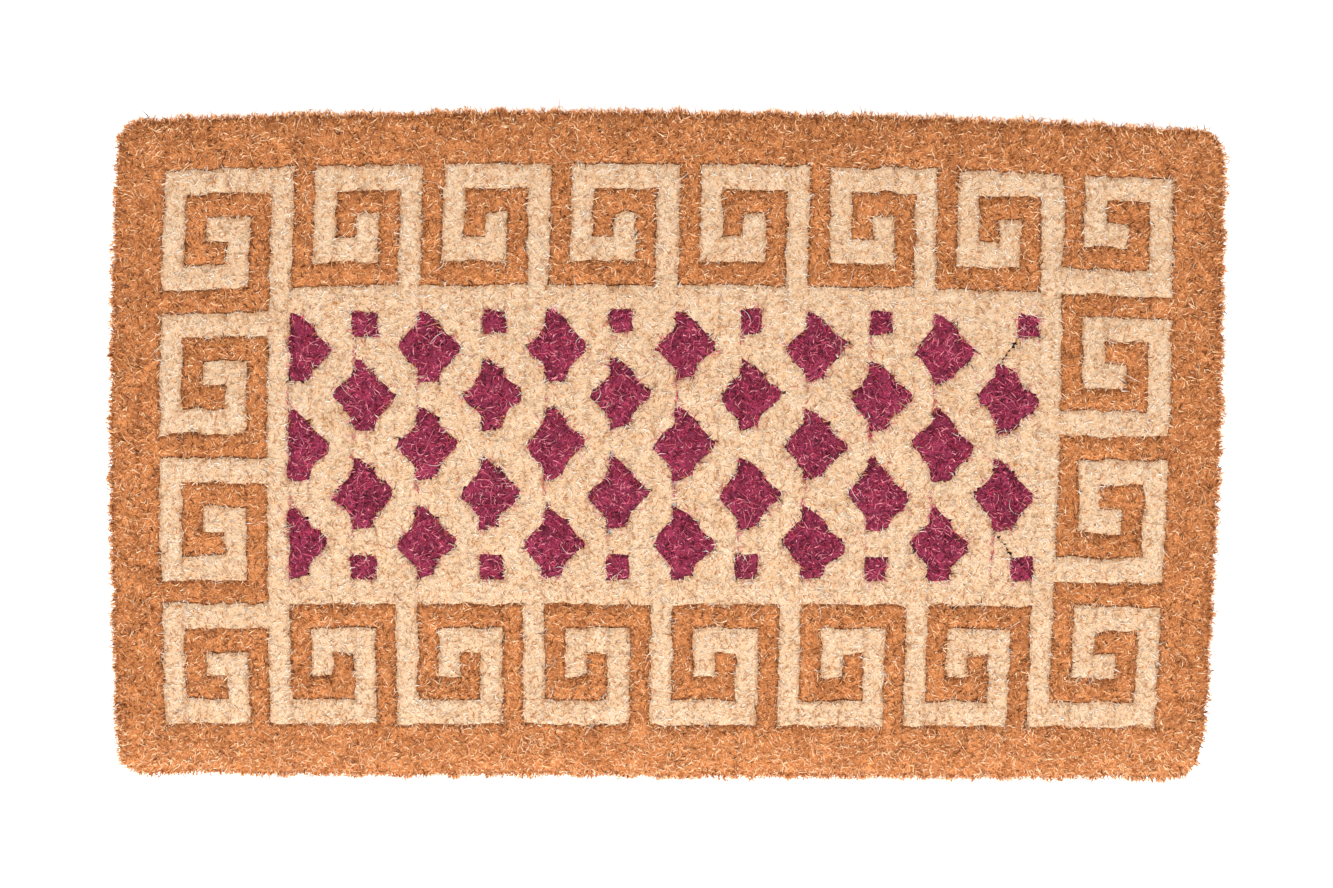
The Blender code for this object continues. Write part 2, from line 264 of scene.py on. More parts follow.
def body_at(x, y):
    """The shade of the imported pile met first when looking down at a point."""
    met = {}
    for shade, tree in body_trees.items():
        hit = tree.ray_cast(Vector((x, y, 2 * MAT_TOP)), DOWN)[0]
        if hit:
            met[shade] = hit.z
    return max(met, key=met.get) if met else OUTSIDE


def shade_at(x, y):
    """The same, but bleached where plum is only carried from one island to the next."""
    shade = body_at(x, y)
    if shade == PLUM:
        beside = (body_at(x - CARRIED_WIDTH, y), body_at(x + CARRIED_WIDTH, y))
        return PLUM if PLUM in beside else BLEACHED
    return shade


print("shade in the middle of the border:", shade_at(*place(-1, 11)))

# %% [markdown]
# ## The bed of the pile
# Below the loose tips the fibres are packed close.  That packed bed could be
# a plain block, but the carving would be lost.  So it starts as one grid laid
# out in cells, six faces to a column and seven to a row: each straight colour
# line then falls exactly on an edge of the grid.


# %% Read a mesh as an array
def points_of(mesh):
    """The points of a mesh, one to a line."""
    flat = np.empty(len(mesh.vertices) * 3)
    mesh.vertices.foreach_get("co", flat)
    return flat.reshape(-1, 3)


print("corners of the floor:", len(points_of(floor.data)))

# %% Lay the grid over the whole mat
PER_COLUMN = 6
PER_ROW = 7
GRID_COLUMNS = 52           # the key and two and a half columns each side of it
FACES_BEYOND = 16           # beyond the key, above it and below it
GRID_ROWS = ROWS + 2 * FACES_BEYOND / PER_ROW
BED_TOP = MAT_TOP - 0.0018

nothing_selected()
bpy.ops.mesh.primitive_grid_add(
    x_subdivisions=GRID_COLUMNS * PER_COLUMN,
    y_subdivisions=round(GRID_ROWS * PER_ROW),
    size=2,
    location=(0, 0, 0),
)
bed = name_piece("pile_bed")
flat = points_of(bed.data)
grid_column = (COLUMNS - GRID_COLUMNS) / 2 + (flat[:, 0] + 1) / 2 * GRID_COLUMNS
grid_row = (ROWS + GRID_ROWS) / 2 - (flat[:, 1] + 1) / 2 * GRID_ROWS
grid_column = np.clip(grid_column, -BORDER_COLUMNS, COLUMNS + BORDER_COLUMNS)
flat[:, 0], flat[:, 1] = place(grid_column, grid_row)
flat[:, 2] = BED_TOP
bed.data.vertices.foreach_set("co", flat.ravel())
out_across = np.maximum(-grid_column, grid_column - COLUMNS) / BORDER_COLUMNS
out_down = np.maximum(-grid_row, grid_row - ROWS) / BORDER_ROWS
bed.data.attributes.new("column", "FLOAT", "POINT").data.foreach_set("value", grid_column)
bed.data.attributes.new("outward", "FLOAT", "POINT").data.foreach_set(
    "value", np.clip(np.maximum(out_across, out_down), 0, 1)
)
print("faces in the grid:", len(bed.data.polygons))


# %% [markdown]
# ### Draw the slanting outlines
# The lozenges and the rounded corners cut across the grid, and would come out
# as steps.  So every point near such an outline is moved on to it, and a face
# that then has two opposite corners on the outline is cut from one to the
# other.


# %% Open a piece in edit mode
def take(piece):
    """Select one piece alone and make it the active one."""
    nothing_selected()
    piece.select_set(True)
    bpy.context.view_layer.objects.active = piece


def open_up(piece, action="SELECT"):
    """Enter edit mode on one piece, with all of it selected, or with nothing."""
    take(piece)
    bpy.ops.object.mode_set(mode="EDIT")
    bpy.ops.mesh.select_all(action=action)


print("ready to open pieces")

# %% Move points on to the outlines
NEAR_LINE = 0.0013          # points closer to an outline than this move on to it
KEY_CLEAR = 1.0             # beyond the key by this many cells, only the rim is near

plum_walls = body_tree(plum_nodes, walls_only=True)
rim_walls = body_tree(["natural_pile"], walls_only=True)
open_up(bed)
work = bmesh.from_edit_mesh(bed.data)
on_line = set()
for number, vertex in enumerate(work.verts):
    beyond = max(-grid_column[number], grid_column[number] - COLUMNS,
                 -grid_row[number], grid_row[number] - ROWS)
    tree = rim_walls if beyond > KEY_CLEAR else plum_walls
    nearest, _, _, distance = tree.find_nearest(Vector((vertex.co.x, vertex.co.y, MAT_TOP)))
    if distance < NEAR_LINE:
        vertex.co.x = nearest.x
        vertex.co.y = nearest.y
        on_line.add(vertex)
cuts = []
for face in work.faces:
    marks = [vertex in on_line for vertex in face.verts]
    if marks in ([True, False, True, False], [False, True, False, True]):
        cuts.append((face, [vertex for vertex in face.verts if vertex in on_line]))
for face, ends in cuts:
    bmesh.utils.face_split(face, *ends)
bmesh.update_edit_mesh(bed.data)
bpy.ops.object.mode_set(mode="OBJECT")
print("points on an outline:", len(on_line), "faces cut:", len(cuts))

# %% Shade the grid face by face
bed_stuff = [new_material(f"{shade_name}_bed_fibre", 0.9) for shade_name in SHADE_NAMES]
for stuff in bed_stuff + [new_material("cut_away", 0.9)]:
    bed.data.materials.append(stuff)
for face in bed.data.polygons:
    face.material_index = shade_at(face.center.x, face.center.y)
counts = np.bincount([face.material_index for face in bed.data.polygons], minlength=4)
print("faces natural, bleached, plum, outside:", counts)

# %% Cut away what lies beyond the rim
open_up(bed, "DESELECT")
bpy.ops.mesh.select_mode(type="FACE")
work = bmesh.from_edit_mesh(bed.data)
for face in work.faces:
    face.select = face.material_index == OUTSIDE
bmesh.update_edit_mesh(bed.data)
bpy.ops.mesh.delete(type="FACE")
bpy.ops.object.mode_set(mode="OBJECT")
print("faces left:", len(bed.data.polygons))

# %% [markdown]
# ### Let the lines wander
# No hand cuts a line that straight.  Every point of the bed is moved a little
# by a smooth noise, so that both sides of a colour line wander together, and
# the near right corner is worn in.  The rim is tucked in, because the fibres
# that splay from it make the outline.

# %% How far a point wanders
WANDER = 0.0017             # at most this far, and half as far again in a finer noise
WANDER_SIZE = 0.011
FINER = 2.6                 # how much finer the second noise is
CORNER_WEAR = 0.0055
WEAR_SIZE = 0.038


def two_noises(spot, aside):
    """A slow noise with a finer one of half its height on top."""
    return noise.noise(spot + aside) + 0.5 * noise.noise(FINER * spot + aside)


def wander(x, y):
    """How far a point of the pile strays from its place in the design."""
    spot = Vector((x, y, 0)) / WANDER_SIZE
    from_corner = math.hypot(x - cad_high.x, y - cad_low.y)
    wear = CORNER_WEAR * math.exp(-(from_corner / WEAR_SIZE) ** 2)
    return (
        WANDER * two_noises(spot, Vector((0, 0, 0))) - wear,
        WANDER * two_noises(spot, Vector((17.3, 5.9, 2.4))),
    )


def wanders(across, down):
    """The same for many points."""
    return np.array([wander(x, y) for x, y in zip(across, down)])


print("wander in the middle in mm:", [round(1000 * shift, 2) for shift in wander(0, 0)])

# %% Move the points sideways
RIM_TUCK = 0.0027

outward = np.empty(len(bed.data.vertices))
bed.data.attributes["outward"].data.foreach_get("value", outward)
centre_x, centre_y = place(COLUMNS / 2, ROWS / 2)
half_wide = (place(COLUMNS, ROWS / 2)[0] - place(0, ROWS / 2)[0]) / 2
half_deep = (place(COLUMNS / 2, 0)[1] - place(COLUMNS / 2, ROWS)[1]) / 2
border = BORDER_COLUMNS * COLUMN_PITCH
for vertex, share in zip(bed.data.vertices, outward):
    x, y = vertex.co.x, vertex.co.y
    shift_x, shift_y = wander(x, y)
    beyond_x = max(0.0, abs(x - centre_x) - half_wide) / border
    beyond_y = max(0.0, abs(y - centre_y) - half_deep) / border
    vertex.co.x = x + shift_x - RIM_TUCK * min(beyond_x, 1.0) ** 2 * math.copysign(1, x)
    vertex.co.y = y + shift_y - RIM_TUCK * min(beyond_y, 1.0) ** 2 * math.copysign(1, y)
print("points moved:", len(outward))

# %% Part the bed into its three shades
open_up(bed)
bpy.ops.mesh.separate(type="MATERIAL")
bpy.ops.object.mode_set(mode="OBJECT")
beds = {}
for piece in bpy.context.selected_objects:
    stuff = piece.data.materials[piece.data.polygons[0].material_index]
    beds[bed_stuff.index(stuff)] = piece
for shade, piece in beds.items():
    print(SHADE_NAMES[shade], "faces:", len(piece.data.polygons))

# %% [markdown]
# ### Carve the bed
# The shears leave a groove along every colour line.  Points on the line sink
# most, their neighbours less, and the natural pile sinks more than the shades
# it frames, which stand a little proud of it.  The rim falls away in a
# shoulder, the seams between weft rows dip a little, and a slow wave and a
# finer one keep the rest from being flat.

# %% How deep the shears go
GROOVE = {                  # how deep each line of points sinks, from the colour line in
    NATURAL: (0.0026, 0.0008, 0.0002),
    BLEACHED: (0.0009, 0.0002, 0.0001),
    PLUM: (0.0016, 0.0005, 0.0001),
}
GROOVE_VARIES = 0.55        # how much shallower or deeper a groove is from place to place
SHOULDER = 0.0032           # how far the rim falls below the face
SLOW_WAVE = 0.0007
FINE_WAVE = 0.0006
RUFFLED = {NATURAL: 0.9, BLEACHED: 0.6, PLUM: 1.0}      # the share of both waves in each shade
SEAM = 0.0007               # the dip between one weft row of tufts and the next
SEAM_WIDTH = 0.0015
GROOVE_NOISE = 120.0        # the scale of each noise, in waves to about a metre
SLOW_NOISE = 45.0
FINE_NOISE = 330.0
SHOULDER_CURVE = 7          # the higher, the nearer the rim the shoulder starts
print("deepest groove in mm:", round(1000 * GROOVE[NATURAL][0] * (1 + GROOVE_VARIES), 1))


# %% Sink the lines and ruffle the rest
def rings_from_edge(work, most):
    """For each point, how many steps it is from the bed's outline, up to a limit."""
    ring = {vertex: 0 for vertex in work.verts if vertex.is_boundary}
    newest = list(ring)
    for step in range(1, most):
        found = []
        for vertex in newest:
            for edge in vertex.link_edges:
                other = edge.other_vert(vertex)
                if other not in ring:
                    ring[other] = step
                    found.append(other)
        newest = found
    return ring


def carve(piece, depths, ruffled):
    """Sink the outline of a bed, its shoulder and its seams, and ruffle its face."""
    work = bmesh.new()
    work.from_mesh(piece.data)
    in_column = work.verts.layers.float["column"]
    outward = work.verts.layers.float["outward"]
    ring = rings_from_edge(work, len(depths))
    for vertex in work.verts:
        depth = depths[ring[vertex]] if vertex in ring else 0.0
        sink = depth * (1 + GROOVE_VARIES * noise.noise(vertex.co * GROOVE_NOISE))
        slow = ruffled * SLOW_WAVE * noise.noise(vertex.co * SLOW_NOISE)
        fine = ruffled * FINE_WAVE * noise.noise(vertex.co * FINE_NOISE)
        off_seam = abs(vertex[in_column] - round(vertex[in_column])) * COLUMN_PITCH
        seam = SEAM * math.exp(-(off_seam / SEAM_WIDTH) ** 2)
        shoulder = SHOULDER * vertex[outward] ** SHOULDER_CURVE
        vertex.co.z = BED_TOP - sink - seam - shoulder + slow + fine
    work.to_mesh(piece.data)
    work.free()
    return len(ring)


for shade, piece in beds.items():
    near_line = carve(piece, GROOVE[shade], RUFFLED[shade])
    print(SHADE_NAMES[shade], "points near an outline:", near_line)

# %% [markdown]
# ### Close each bed down to the weave
# Extruding the whole face of a bed downwards gives it walls and a floor at one
# stroke, and closes every island of it.  The floor comes out as finely cut as
# the face, so its flat faces are dissolved into a few large ones.  Under the
# rim the floor is drawn in, because the outer tufts lean out over the braid.

# %% Draw the beds down to their foot
PILE_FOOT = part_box("natural_pile")[0].z
RIM_SPLAY = 0.005           # how far the floor is drawn in under the rim
RIM_DEPTH = 0.034           # over what width of border it is drawn in


def face_out():
    """Turn all faces outwards and leave edit mode."""
    bpy.ops.mesh.select_all(action="SELECT")
    bpy.ops.mesh.normals_make_consistent(inside=False)
    bpy.ops.object.mode_set(mode="OBJECT")


def drawn_in(value, edge):
    """A coordinate moved inwards under the rim, more the nearer it is to the edge."""
    share = (abs(value) - (edge - RIM_DEPTH)) / RIM_DEPTH
    return value - math.copysign(RIM_SPLAY * min(max(share, 0.0), 1.0), value)


def close_down(piece):
    """Walls and a floor for an open bed."""
    open_up(piece)
    bpy.ops.mesh.select_mode(type="FACE")
    bpy.ops.mesh.extrude_region_move()
    work = bmesh.from_edit_mesh(piece.data)
    for vertex in work.verts:
        if vertex.select:
            vertex.co = (
                drawn_in(vertex.co.x, cad_high.x),
                drawn_in(vertex.co.y, cad_high.y),
                PILE_FOOT,
            )
    bmesh.update_edit_mesh(piece.data)
    bpy.ops.mesh.dissolve_limited(angle_limit=math.radians(1), use_dissolve_boundaries=False)
    face_out()
    return len(piece.data.polygons)


for shade, piece in beds.items():
    print(SHADE_NAMES[shade], "faces when closed:", close_down(piece))

# %% Give the beds their names and their places
for shade, shade_name in enumerate(SHADE_NAMES):
    piece = beds[shade]
    piece.name = f"{shade_name}_bed"
    piece.data.name = piece.name
    for mark in ("column", "outward"):
        piece.data.attributes.remove(piece.data.attributes[mark])
    piece.data.materials.clear()
    piece.data.materials.append(bed_stuff[shade])
    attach(piece, "root")
    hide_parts(*pile_nodes[shade])
    print("in place:", piece.name)

# %% [markdown]
# ## Colour for the beds
# Packed coir is never one colour.  A node group mixes a fine mottle of single
# fibres with a broad one of whole tufts.  Each bed gives it two colours: the
# fibres' own colour, and a painted shade for the dark hollows between them.


# %% Build the mottle group
def socket(group, name, kind, way, value=None):
    """Add a named socket to a node group."""
    made = group.interface.new_socket(name=name, in_out=way, socket_type=kind)
    if value is not None:
        made.default_value = value
    return made


def build_mottle():
    """Fibre colour and painted hollow shade mixed by the packed-fibre mottle, and its height."""
    group = bpy.data.node_groups.new("packed fibre mottle", "ShaderNodeTree")
    socket(group, "Painted hollow shade", "NodeSocketColor", "INPUT", (0.1, 0.05, 0.02, 1))
    socket(group, "Fibre colour", "NodeSocketColor", "INPUT", (0.5, 0.25, 0.1, 1))
    socket(group, "Fibre scale", "NodeSocketFloat", "INPUT", 900.0)
    socket(group, "Tuft scale", "NodeSocketFloat", "INPUT", 90.0)
    socket(group, "Grain", "NodeSocketVector", "INPUT", (1, 1, 1))
    socket(group, "Colour", "NodeSocketColor", "OUTPUT")
    socket(group, "Height", "NodeSocketFloat", "OUTPUT")
    nodes_in = group.nodes
    links = group.links
    given = nodes_in.new("NodeGroupInput")
    result = nodes_in.new("NodeGroupOutput")
    where = nodes_in.new("ShaderNodeTexCoord")
    grained = nodes_in.new("ShaderNodeVectorMath")
    grained.operation = "MULTIPLY"
    links.new(where.outputs["Object"], grained.inputs[0])
    links.new(given.outputs["Grain"], grained.inputs[1])
    fine = nodes_in.new("ShaderNodeTexNoise")
    fine.inputs["Detail"].default_value = 3.0
    fine.inputs["Distortion"].default_value = 1.2
    broad = nodes_in.new("ShaderNodeTexNoise")
    broad.inputs["Detail"].default_value = 1.0
    links.new(grained.outputs[0], fine.inputs["Vector"])
    links.new(where.outputs["Object"], broad.inputs["Vector"])
    links.new(given.outputs["Fibre scale"], fine.inputs["Scale"])
    links.new(given.outputs["Tuft scale"], broad.inputs["Scale"])
    both = nodes_in.new("ShaderNodeMath")
    both.operation = "MULTIPLY_ADD"
    both.inputs[1].default_value = 0.35
    links.new(broad.outputs["Fac"], both.inputs[0])
    links.new(fine.outputs["Fac"], both.inputs[2])
    spread = nodes_in.new("ShaderNodeMapRange")
    spread.inputs["From Min"].default_value = 0.50
    spread.inputs["From Max"].default_value = 0.86
    links.new(both.outputs[0], spread.inputs["Value"])
    mix = nodes_in.new("ShaderNodeMix")
    mix.data_type = "RGBA"
    links.new(spread.outputs["Result"], mix.inputs[0])
    links.new(given.outputs["Painted hollow shade"], mix.inputs[6])
    links.new(given.outputs["Fibre colour"], mix.inputs[7])
    links.new(mix.outputs[2], result.inputs["Colour"])
    links.new(spread.outputs["Result"], result.inputs["Height"])
    return group


mottle = build_mottle()
print("group:", mottle.name)


# %% Finish the beds with it
def finish_packed(material, painted_hollow_shade, fibre, grain=(1, 1, 1)):
    """Put the mottle in a material: painted hollow shade, fibre colour and the way its fibres
    run.
    """
    tree = material.node_tree
    group = tree.nodes.new("ShaderNodeGroup")
    group.node_tree = mottle
    group.inputs["Painted hollow shade"].default_value = (*painted_hollow_shade, 1)
    group.inputs["Fibre colour"].default_value = (*fibre, 1)
    group.inputs["Grain"].default_value = grain
    bump = tree.nodes.new("ShaderNodeBump")
    bump.inputs["Strength"].default_value = 0.8
    bump.inputs["Distance"].default_value = 0.0006
    tree.links.new(group.outputs["Colour"], shader_of(material).inputs["Base Color"])
    tree.links.new(group.outputs["Height"], bump.inputs["Height"])
    tree.links.new(bump.outputs["Normal"], shader_of(material).inputs["Normal"])


# the first colour given to each bed is a painted shade for the hollows between its fibres
finish_packed(bed_stuff[NATURAL], (0.22, 0.068, 0.022), (0.64, 0.250, 0.086))
finish_packed(bed_stuff[BLEACHED], (0.54, 0.32, 0.165), (0.66, 0.50, 0.35))
finish_packed(bed_stuff[PLUM], (0.060, 0.006, 0.016), (0.32, 0.034, 0.085))
print("beds coloured")

# %% [markdown]
# ## Loose fibre tips
# What the eye meets is the loose end of each fibre, leaning any way it likes.
# One fibre is modelled: a three-sided cone whose open end is drawn out
# and closed to a second point, so that it is thick in the middle and has six
# faces in all.  It is a unit long and a unit thick, and is sown many thousand
# times, each copy with its own length, thickness, lean and bend.


# %% Turn a piece into a pattern to copy
def apply_place():
    """Put the active piece's place in its mesh."""
    bpy.ops.object.transform_apply(location=True, rotation=False, scale=False)


def take_pattern(piece):
    """The points and faces of a piece as arrays; the piece itself is then removed."""
    points = points_of(piece.data)
    faces = np.array([face.vertices[:] for face in piece.data.polygons])
    bpy.data.objects.remove(piece, do_unlink=True)
    return points, faces


print("ready to take patterns")

# %% Model one fibre
nothing_selected()
bpy.ops.mesh.primitive_cone_add(
    vertices=3, radius1=0.5, radius2=0, depth=0.5, end_fill_type="NOTHING", location=(0, 0, 0.75)
)
one_fibre = name_piece("one_fibre")
apply_place()
open_up(one_fibre, "DESELECT")
bpy.ops.mesh.select_mode(type="EDGE")
work = bmesh.from_edit_mesh(one_fibre.data)
for edge in work.edges:
    edge.select = edge.is_boundary
bmesh.update_edit_mesh(one_fibre.data)
bpy.ops.mesh.extrude_edges_move(TRANSFORM_OT_translate={"value": (0, 0, -0.5)})
bpy.ops.mesh.merge(type="CENTER")
face_out()
fibre_points, fibre_faces = take_pattern(one_fibre)
print("points and faces of one fibre:", len(fibre_points), len(fibre_faces))

# %% [markdown]
# ### Sowing
# The copies are written straight into one mesh for each patch of the mat, as
# a patch holds some thirty thousand.  A fibre carries two numbers in its map:
# its tone across, and how far it is from root to tip upwards.  The material
# is a palette read at those two numbers.


# %% A sower for any fibre
def piece_of(shape):
    """A new piece in the scene for a mesh or a curve, under the same name."""
    piece = bpy.data.objects.new(shape.name, shape)
    bpy.context.scene.collection.objects.link(piece)
    return piece


def sow(name, points, faces, root, along, length, thick, bend, tone, smooth=False):
    """One mesh holding a copy of a fibre for each root, with its tone on its map."""
    count = len(root)
    upright = np.array([0.0, 0.0, 1.0])
    side = np.cross(along, upright)
    side /= np.maximum(np.linalg.norm(side, axis=1, keepdims=True), 1e-6)
    over = np.cross(side, along)
    x, y, z = points[:, 0], points[:, 1], points[:, 2]
    curve = (bend[:, None] * (4 * z * (1 - z))[None, :])[:, :, None]
    spot = root[:, None, :] + along[:, None, :] * (length[:, None] * z)[:, :, None]
    spot = spot + side[:, None, :] * ((thick[:, None] * x)[:, :, None] + curve)
    spot = spot + over[:, None, :] * (thick[:, None] * y)[:, :, None]
    spot = spot.reshape(-1, 3)
    first = np.arange(count) * len(points)
    index = (faces[None, :, :] + first[:, None, None]).reshape(-1)
    mesh = bpy.data.meshes.new(name)
    corners = faces.shape[1]
    mesh.vertices.add(len(spot))
    mesh.vertices.foreach_set("co", spot.ravel())
    mesh.loops.add(len(index))
    mesh.loops.foreach_set("vertex_index", index.astype(np.int32))
    mesh.polygons.add(len(index) // corners)
    mesh.polygons.foreach_set("loop_start", np.arange(0, len(index), corners, dtype=np.int32))
    tones = np.repeat(tone, len(faces) * corners)
    shares = np.tile(z[faces].ravel(), count)
    across = np.tile((0.004 * x)[faces].ravel(), count)
    chart = np.clip(np.stack([tones + across, shares], axis=1), 0.002, 0.998)
    layer = mesh.uv_layers.new(name="OFBake")
    layer.data.foreach_set("uv", chart.astype(np.float32).ravel())
    mesh.update(calc_edges=True)
    mesh.polygons.foreach_set("use_smooth", np.full(len(mesh.polygons), smooth))
    return piece_of(mesh)


print("sower ready")

# %% [markdown]
# ### Where the fibres stand
# Roots are scattered in every cell, one in each of 11 by 12 little squares so
# that no place is bare.  Each root is dropped on to the bed, which gives its
# shade, its height and which way the bed leans there.

# %% Scatter the roots and drop them on the bed
rng = np.random.default_rng(11)
SOWN_ACROSS = 11
SOWN_DOWN = 12
STEEPEST = 0.05             # nothing grows on a wall

columns_sown = np.arange(-BORDER_COLUMNS, COLUMNS + BORDER_COLUMNS, 1 / SOWN_ACROSS)
rows_sown = np.arange(-BORDER_ROWS, ROWS + BORDER_ROWS, 1 / SOWN_DOWN)
cell_column, cell_row = (grid.ravel() for grid in np.meshgrid(columns_sown, rows_sown))
cell_column = cell_column + rng.uniform(0, 1 / SOWN_ACROSS, len(cell_column))
cell_row = cell_row + rng.uniform(0, 1 / SOWN_DOWN, len(cell_row))
sown_x, sown_y = place(cell_column, cell_row)

bed_corners = []
bed_faces = []
bed_shades = []
for shade in (NATURAL, BLEACHED, PLUM):
    mesh = beds[shade].data
    start = len(bed_corners)
    bed_corners.extend(vertex.co.copy() for vertex in mesh.vertices)
    bed_faces.extend([start + i for i in face.vertices] for face in mesh.polygons)
    bed_shades.extend([shade] * len(mesh.polygons))
bed_tree = BVHTree.FromPolygons(bed_corners, bed_faces)


def drop_on_bed(across, down):
    """Where each point lands on the beds: the spot, the slope and the face."""
    return [bed_tree.ray_cast(Vector((x, y, 2 * MAT_TOP)), DOWN) for x, y in zip(across, down)]


drops = drop_on_bed(sown_x, sown_y)
landed = np.array([drop[0] is not None and drop[1].z > STEEPEST for drop in drops])
sown_root = np.array([drop[0][:] for drop, good in zip(drops, landed) if good])
sown_lean = np.array([drop[1][:] for drop, good in zip(drops, landed) if good])
sown_shade = np.array([bed_shades[drop[2]] for drop, good in zip(drops, landed) if good])
sown_column = cell_column[landed]
sown_row = cell_row[landed]
print("fibres to sow:", np.bincount(sown_shade))

# %% [markdown]
# ### How the fibres lie
# Most tips lean a long way over, in any direction, and a few stand.  In a
# groove they stand up more.  Towards the rim of the mat they are brushed
# outwards.  Each has its own tone, and tufts next to one another differ too.


# %% Helpers for laying fibre
def patchy(points, scale, seed):
    """A slow random number over the mat, from -1 to 1."""
    shift = Vector((seed, 7.3 * seed, 0))
    return np.array([noise.noise(Vector((x, y, 0)) * scale + shift) for x, y in points[:, :2]])


def uneven(shape, count, least, most):
    """Random shares round one, the closer to it the higher the shape, within limits."""
    return rng.gamma(shape, 1 / shape, count).clip(least, most)


def pointing(heading, rise):
    """Unit directions from compass headings and from rises over the level."""
    flat = np.cos(rise)
    return np.stack([np.cos(heading) * flat, np.sin(heading) * flat, np.sin(rise)], axis=1)


print("fibres to lay:", len(sown_root))

# %% Work out how each fibre lies
LENGTHS = np.array([0.0052, 0.0043, 0.0052])    # mean length of a natural, bleached and plum tip
SHEARED = 0.0040            # no tip stands higher than this over its root
LOWEST_RISE = 3             # degrees over the level
HIGHEST_RISE = 52
GROOVE_RISE = 15            # degrees more at the bottom of a groove
BRUSHED_ENDS = 1.2          # how strongly the tips near the short ends are brushed outwards
BRUSHED_SIDES = 0.9         # and near the long sides
DOWNHILL = 0.5              # how far a tip follows the slope of the bed
THICKNESS = (0.00042, 0.00085)
BEND = 0.18                 # of its length, to either side
FULL_GROOVE = np.array([GROOVE[shade][0] for shade in (NATURAL, BLEACHED, PLUM)])

count = len(sown_root)
sunk = np.clip((BED_TOP - sown_root[:, 2]) / FULL_GROOVE[sown_shade], 0, 1)
heading = rng.uniform(0, 2 * math.pi, count)
rise = np.radians(rng.uniform(LOWEST_RISE, HIGHEST_RISE, count) + GROOVE_RISE * sunk)
outward_x = np.clip((np.abs(sown_column - COLUMNS / 2) - COLUMNS / 2) / BORDER_COLUMNS, 0, 1)
outward_y = np.clip((np.abs(sown_row - ROWS / 2) - ROWS / 2) / BORDER_ROWS, 0, 1)
brushed = np.stack([
    BRUSHED_ENDS * outward_x ** 2 * np.sign(sown_column - COLUMNS / 2),
    -BRUSHED_SIDES * outward_y ** 2 * np.sign(sown_row - ROWS / 2),
], axis=1)
level = np.stack([np.cos(heading), np.sin(heading)], axis=1)
level = level + brushed + DOWNHILL * sown_lean[:, :2]
level /= np.linalg.norm(level, axis=1, keepdims=True)
sown_length = LENGTHS[sown_shade] * uneven(6.0, count, 0.45, 2.0)
rise = np.minimum(rise, np.arcsin(np.minimum(SHEARED / sown_length, 0.95)))
sown_along = np.concatenate([level * np.cos(rise)[:, None], np.sin(rise)[:, None]], axis=1)
sown_thick = rng.uniform(*THICKNESS, count)
sown_bend = rng.normal(0, BEND, count) * sown_length
print("longest fibre in mm:", round(1000 * sown_length.max(), 1))

# %% Give each fibre its tone and sink its root
TONE_MIDDLE = np.array([0.52, 0.52, 0.50])      # of a natural, bleached and plum tip
TONE_SPREAD = np.array([0.35, 0.42, 0.40])
NEAR_PAINTED_LIGHT = 0.27           # painted light: how much paler the near border is painted, as it gets the most light
PAINTED_LIGHT_FROM = 0.5            # this many rows inside the key
BROAD_MOOD = 0.08           # how far the tone drifts over the mat,
SMALL_MOOD = 0.10           # from clump to clump,
TUFT_MOOD = 0.035           # and from tuft to tuft
GROOVE_PAINTED_SHADE = 0.10         # painted shade: how much darker fibre is painted at the bottom of a groove
SPARE = 4                   # tufts beyond the key, more than the border holds
ROOT_BACK = 0.0010          # a root starts this far back along its fibre
ROOT_SUNK = 0.0012          # and up to this far down in the bed

mood = BROAD_MOOD * patchy(sown_root, 60.0, 1.0) + SMALL_MOOD * patchy(sown_root, 260.0, 2.0)
tuft_mood = rng.normal(0, TUFT_MOOD, (COLUMNS + 2 * SPARE, ROWS + 2 * SPARE))
tuft_column = np.floor(sown_column).astype(int) + SPARE
tuft_row = np.floor(sown_row).astype(int) + SPARE
in_tuft = tuft_mood[tuft_column, tuft_row]
# painted light: the near border, on the lamp's side, is painted paler
near = np.clip((sown_row - ROWS + PAINTED_LIGHT_FROM) / BORDER_ROWS, 0, 1)
sown_tone = TONE_MIDDLE[sown_shade] + rng.normal(0, 1, count) * TONE_SPREAD[sown_shade]
# painted shade darkens the fibre in the grooves, and painted light makes the near border paler
sown_tone = sown_tone + mood + in_tuft - GROOVE_PAINTED_SHADE * sunk + NEAR_PAINTED_LIGHT * near
sown_tone = np.clip(sown_tone, 0, 1)
sown_root = sown_root - sown_along * ROOT_BACK
sown_root = sown_root - np.array([0, 0, ROOT_SUNK]) * rng.random((count, 1))
print("mean tone:", round(float(sown_tone.mean()), 2))

# %% Sow the three shades in patches
PATCH = 32000               # fibres in one patch at most
tips = {NATURAL: [], BLEACHED: [], PLUM: []}


def grow(shade, name, points, faces, *lie, smooth=False):
    """Sow fibres of one shade, let them ride on the mat and note them down."""
    piece = sow(name, points, faces, *lie, smooth)
    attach(piece, "root")
    tips[shade].append(piece)


lie_of_all = (sown_root, sown_along, sown_length, sown_thick, sown_bend, sown_tone)
for shade, shade_name in enumerate(SHADE_NAMES):
    chosen = np.flatnonzero(sown_shade == shade)
    chosen = chosen[np.argsort(sown_root[chosen, 0], kind="stable")]
    for number, patch in enumerate(np.array_split(chosen, -(-len(chosen) // PATCH))):
        lie = [values[patch] for values in lie_of_all]
        grow(shade, f"{shade_name}_tips_{number + 1}", fibre_points, fibre_faces, *lie)
print("patches:", {SHADE_NAMES[shade]: len(pieces) for shade, pieces in tips.items()})

# %% [markdown]
# ### The rim
# Round the rim the tufts have nothing beside them and splay out, so the mat's
# outline is ragged, a little fuller at each tuft and thinner between.  Each
# fibre there is laid from its tip: the tip is put just about the outline, at
# any height, and the root is found by going back along the fibre.


# %% A line round the mat
CORNER_POINTS = 13
FINE_POINTS = 6000          # the line is measured along this many points


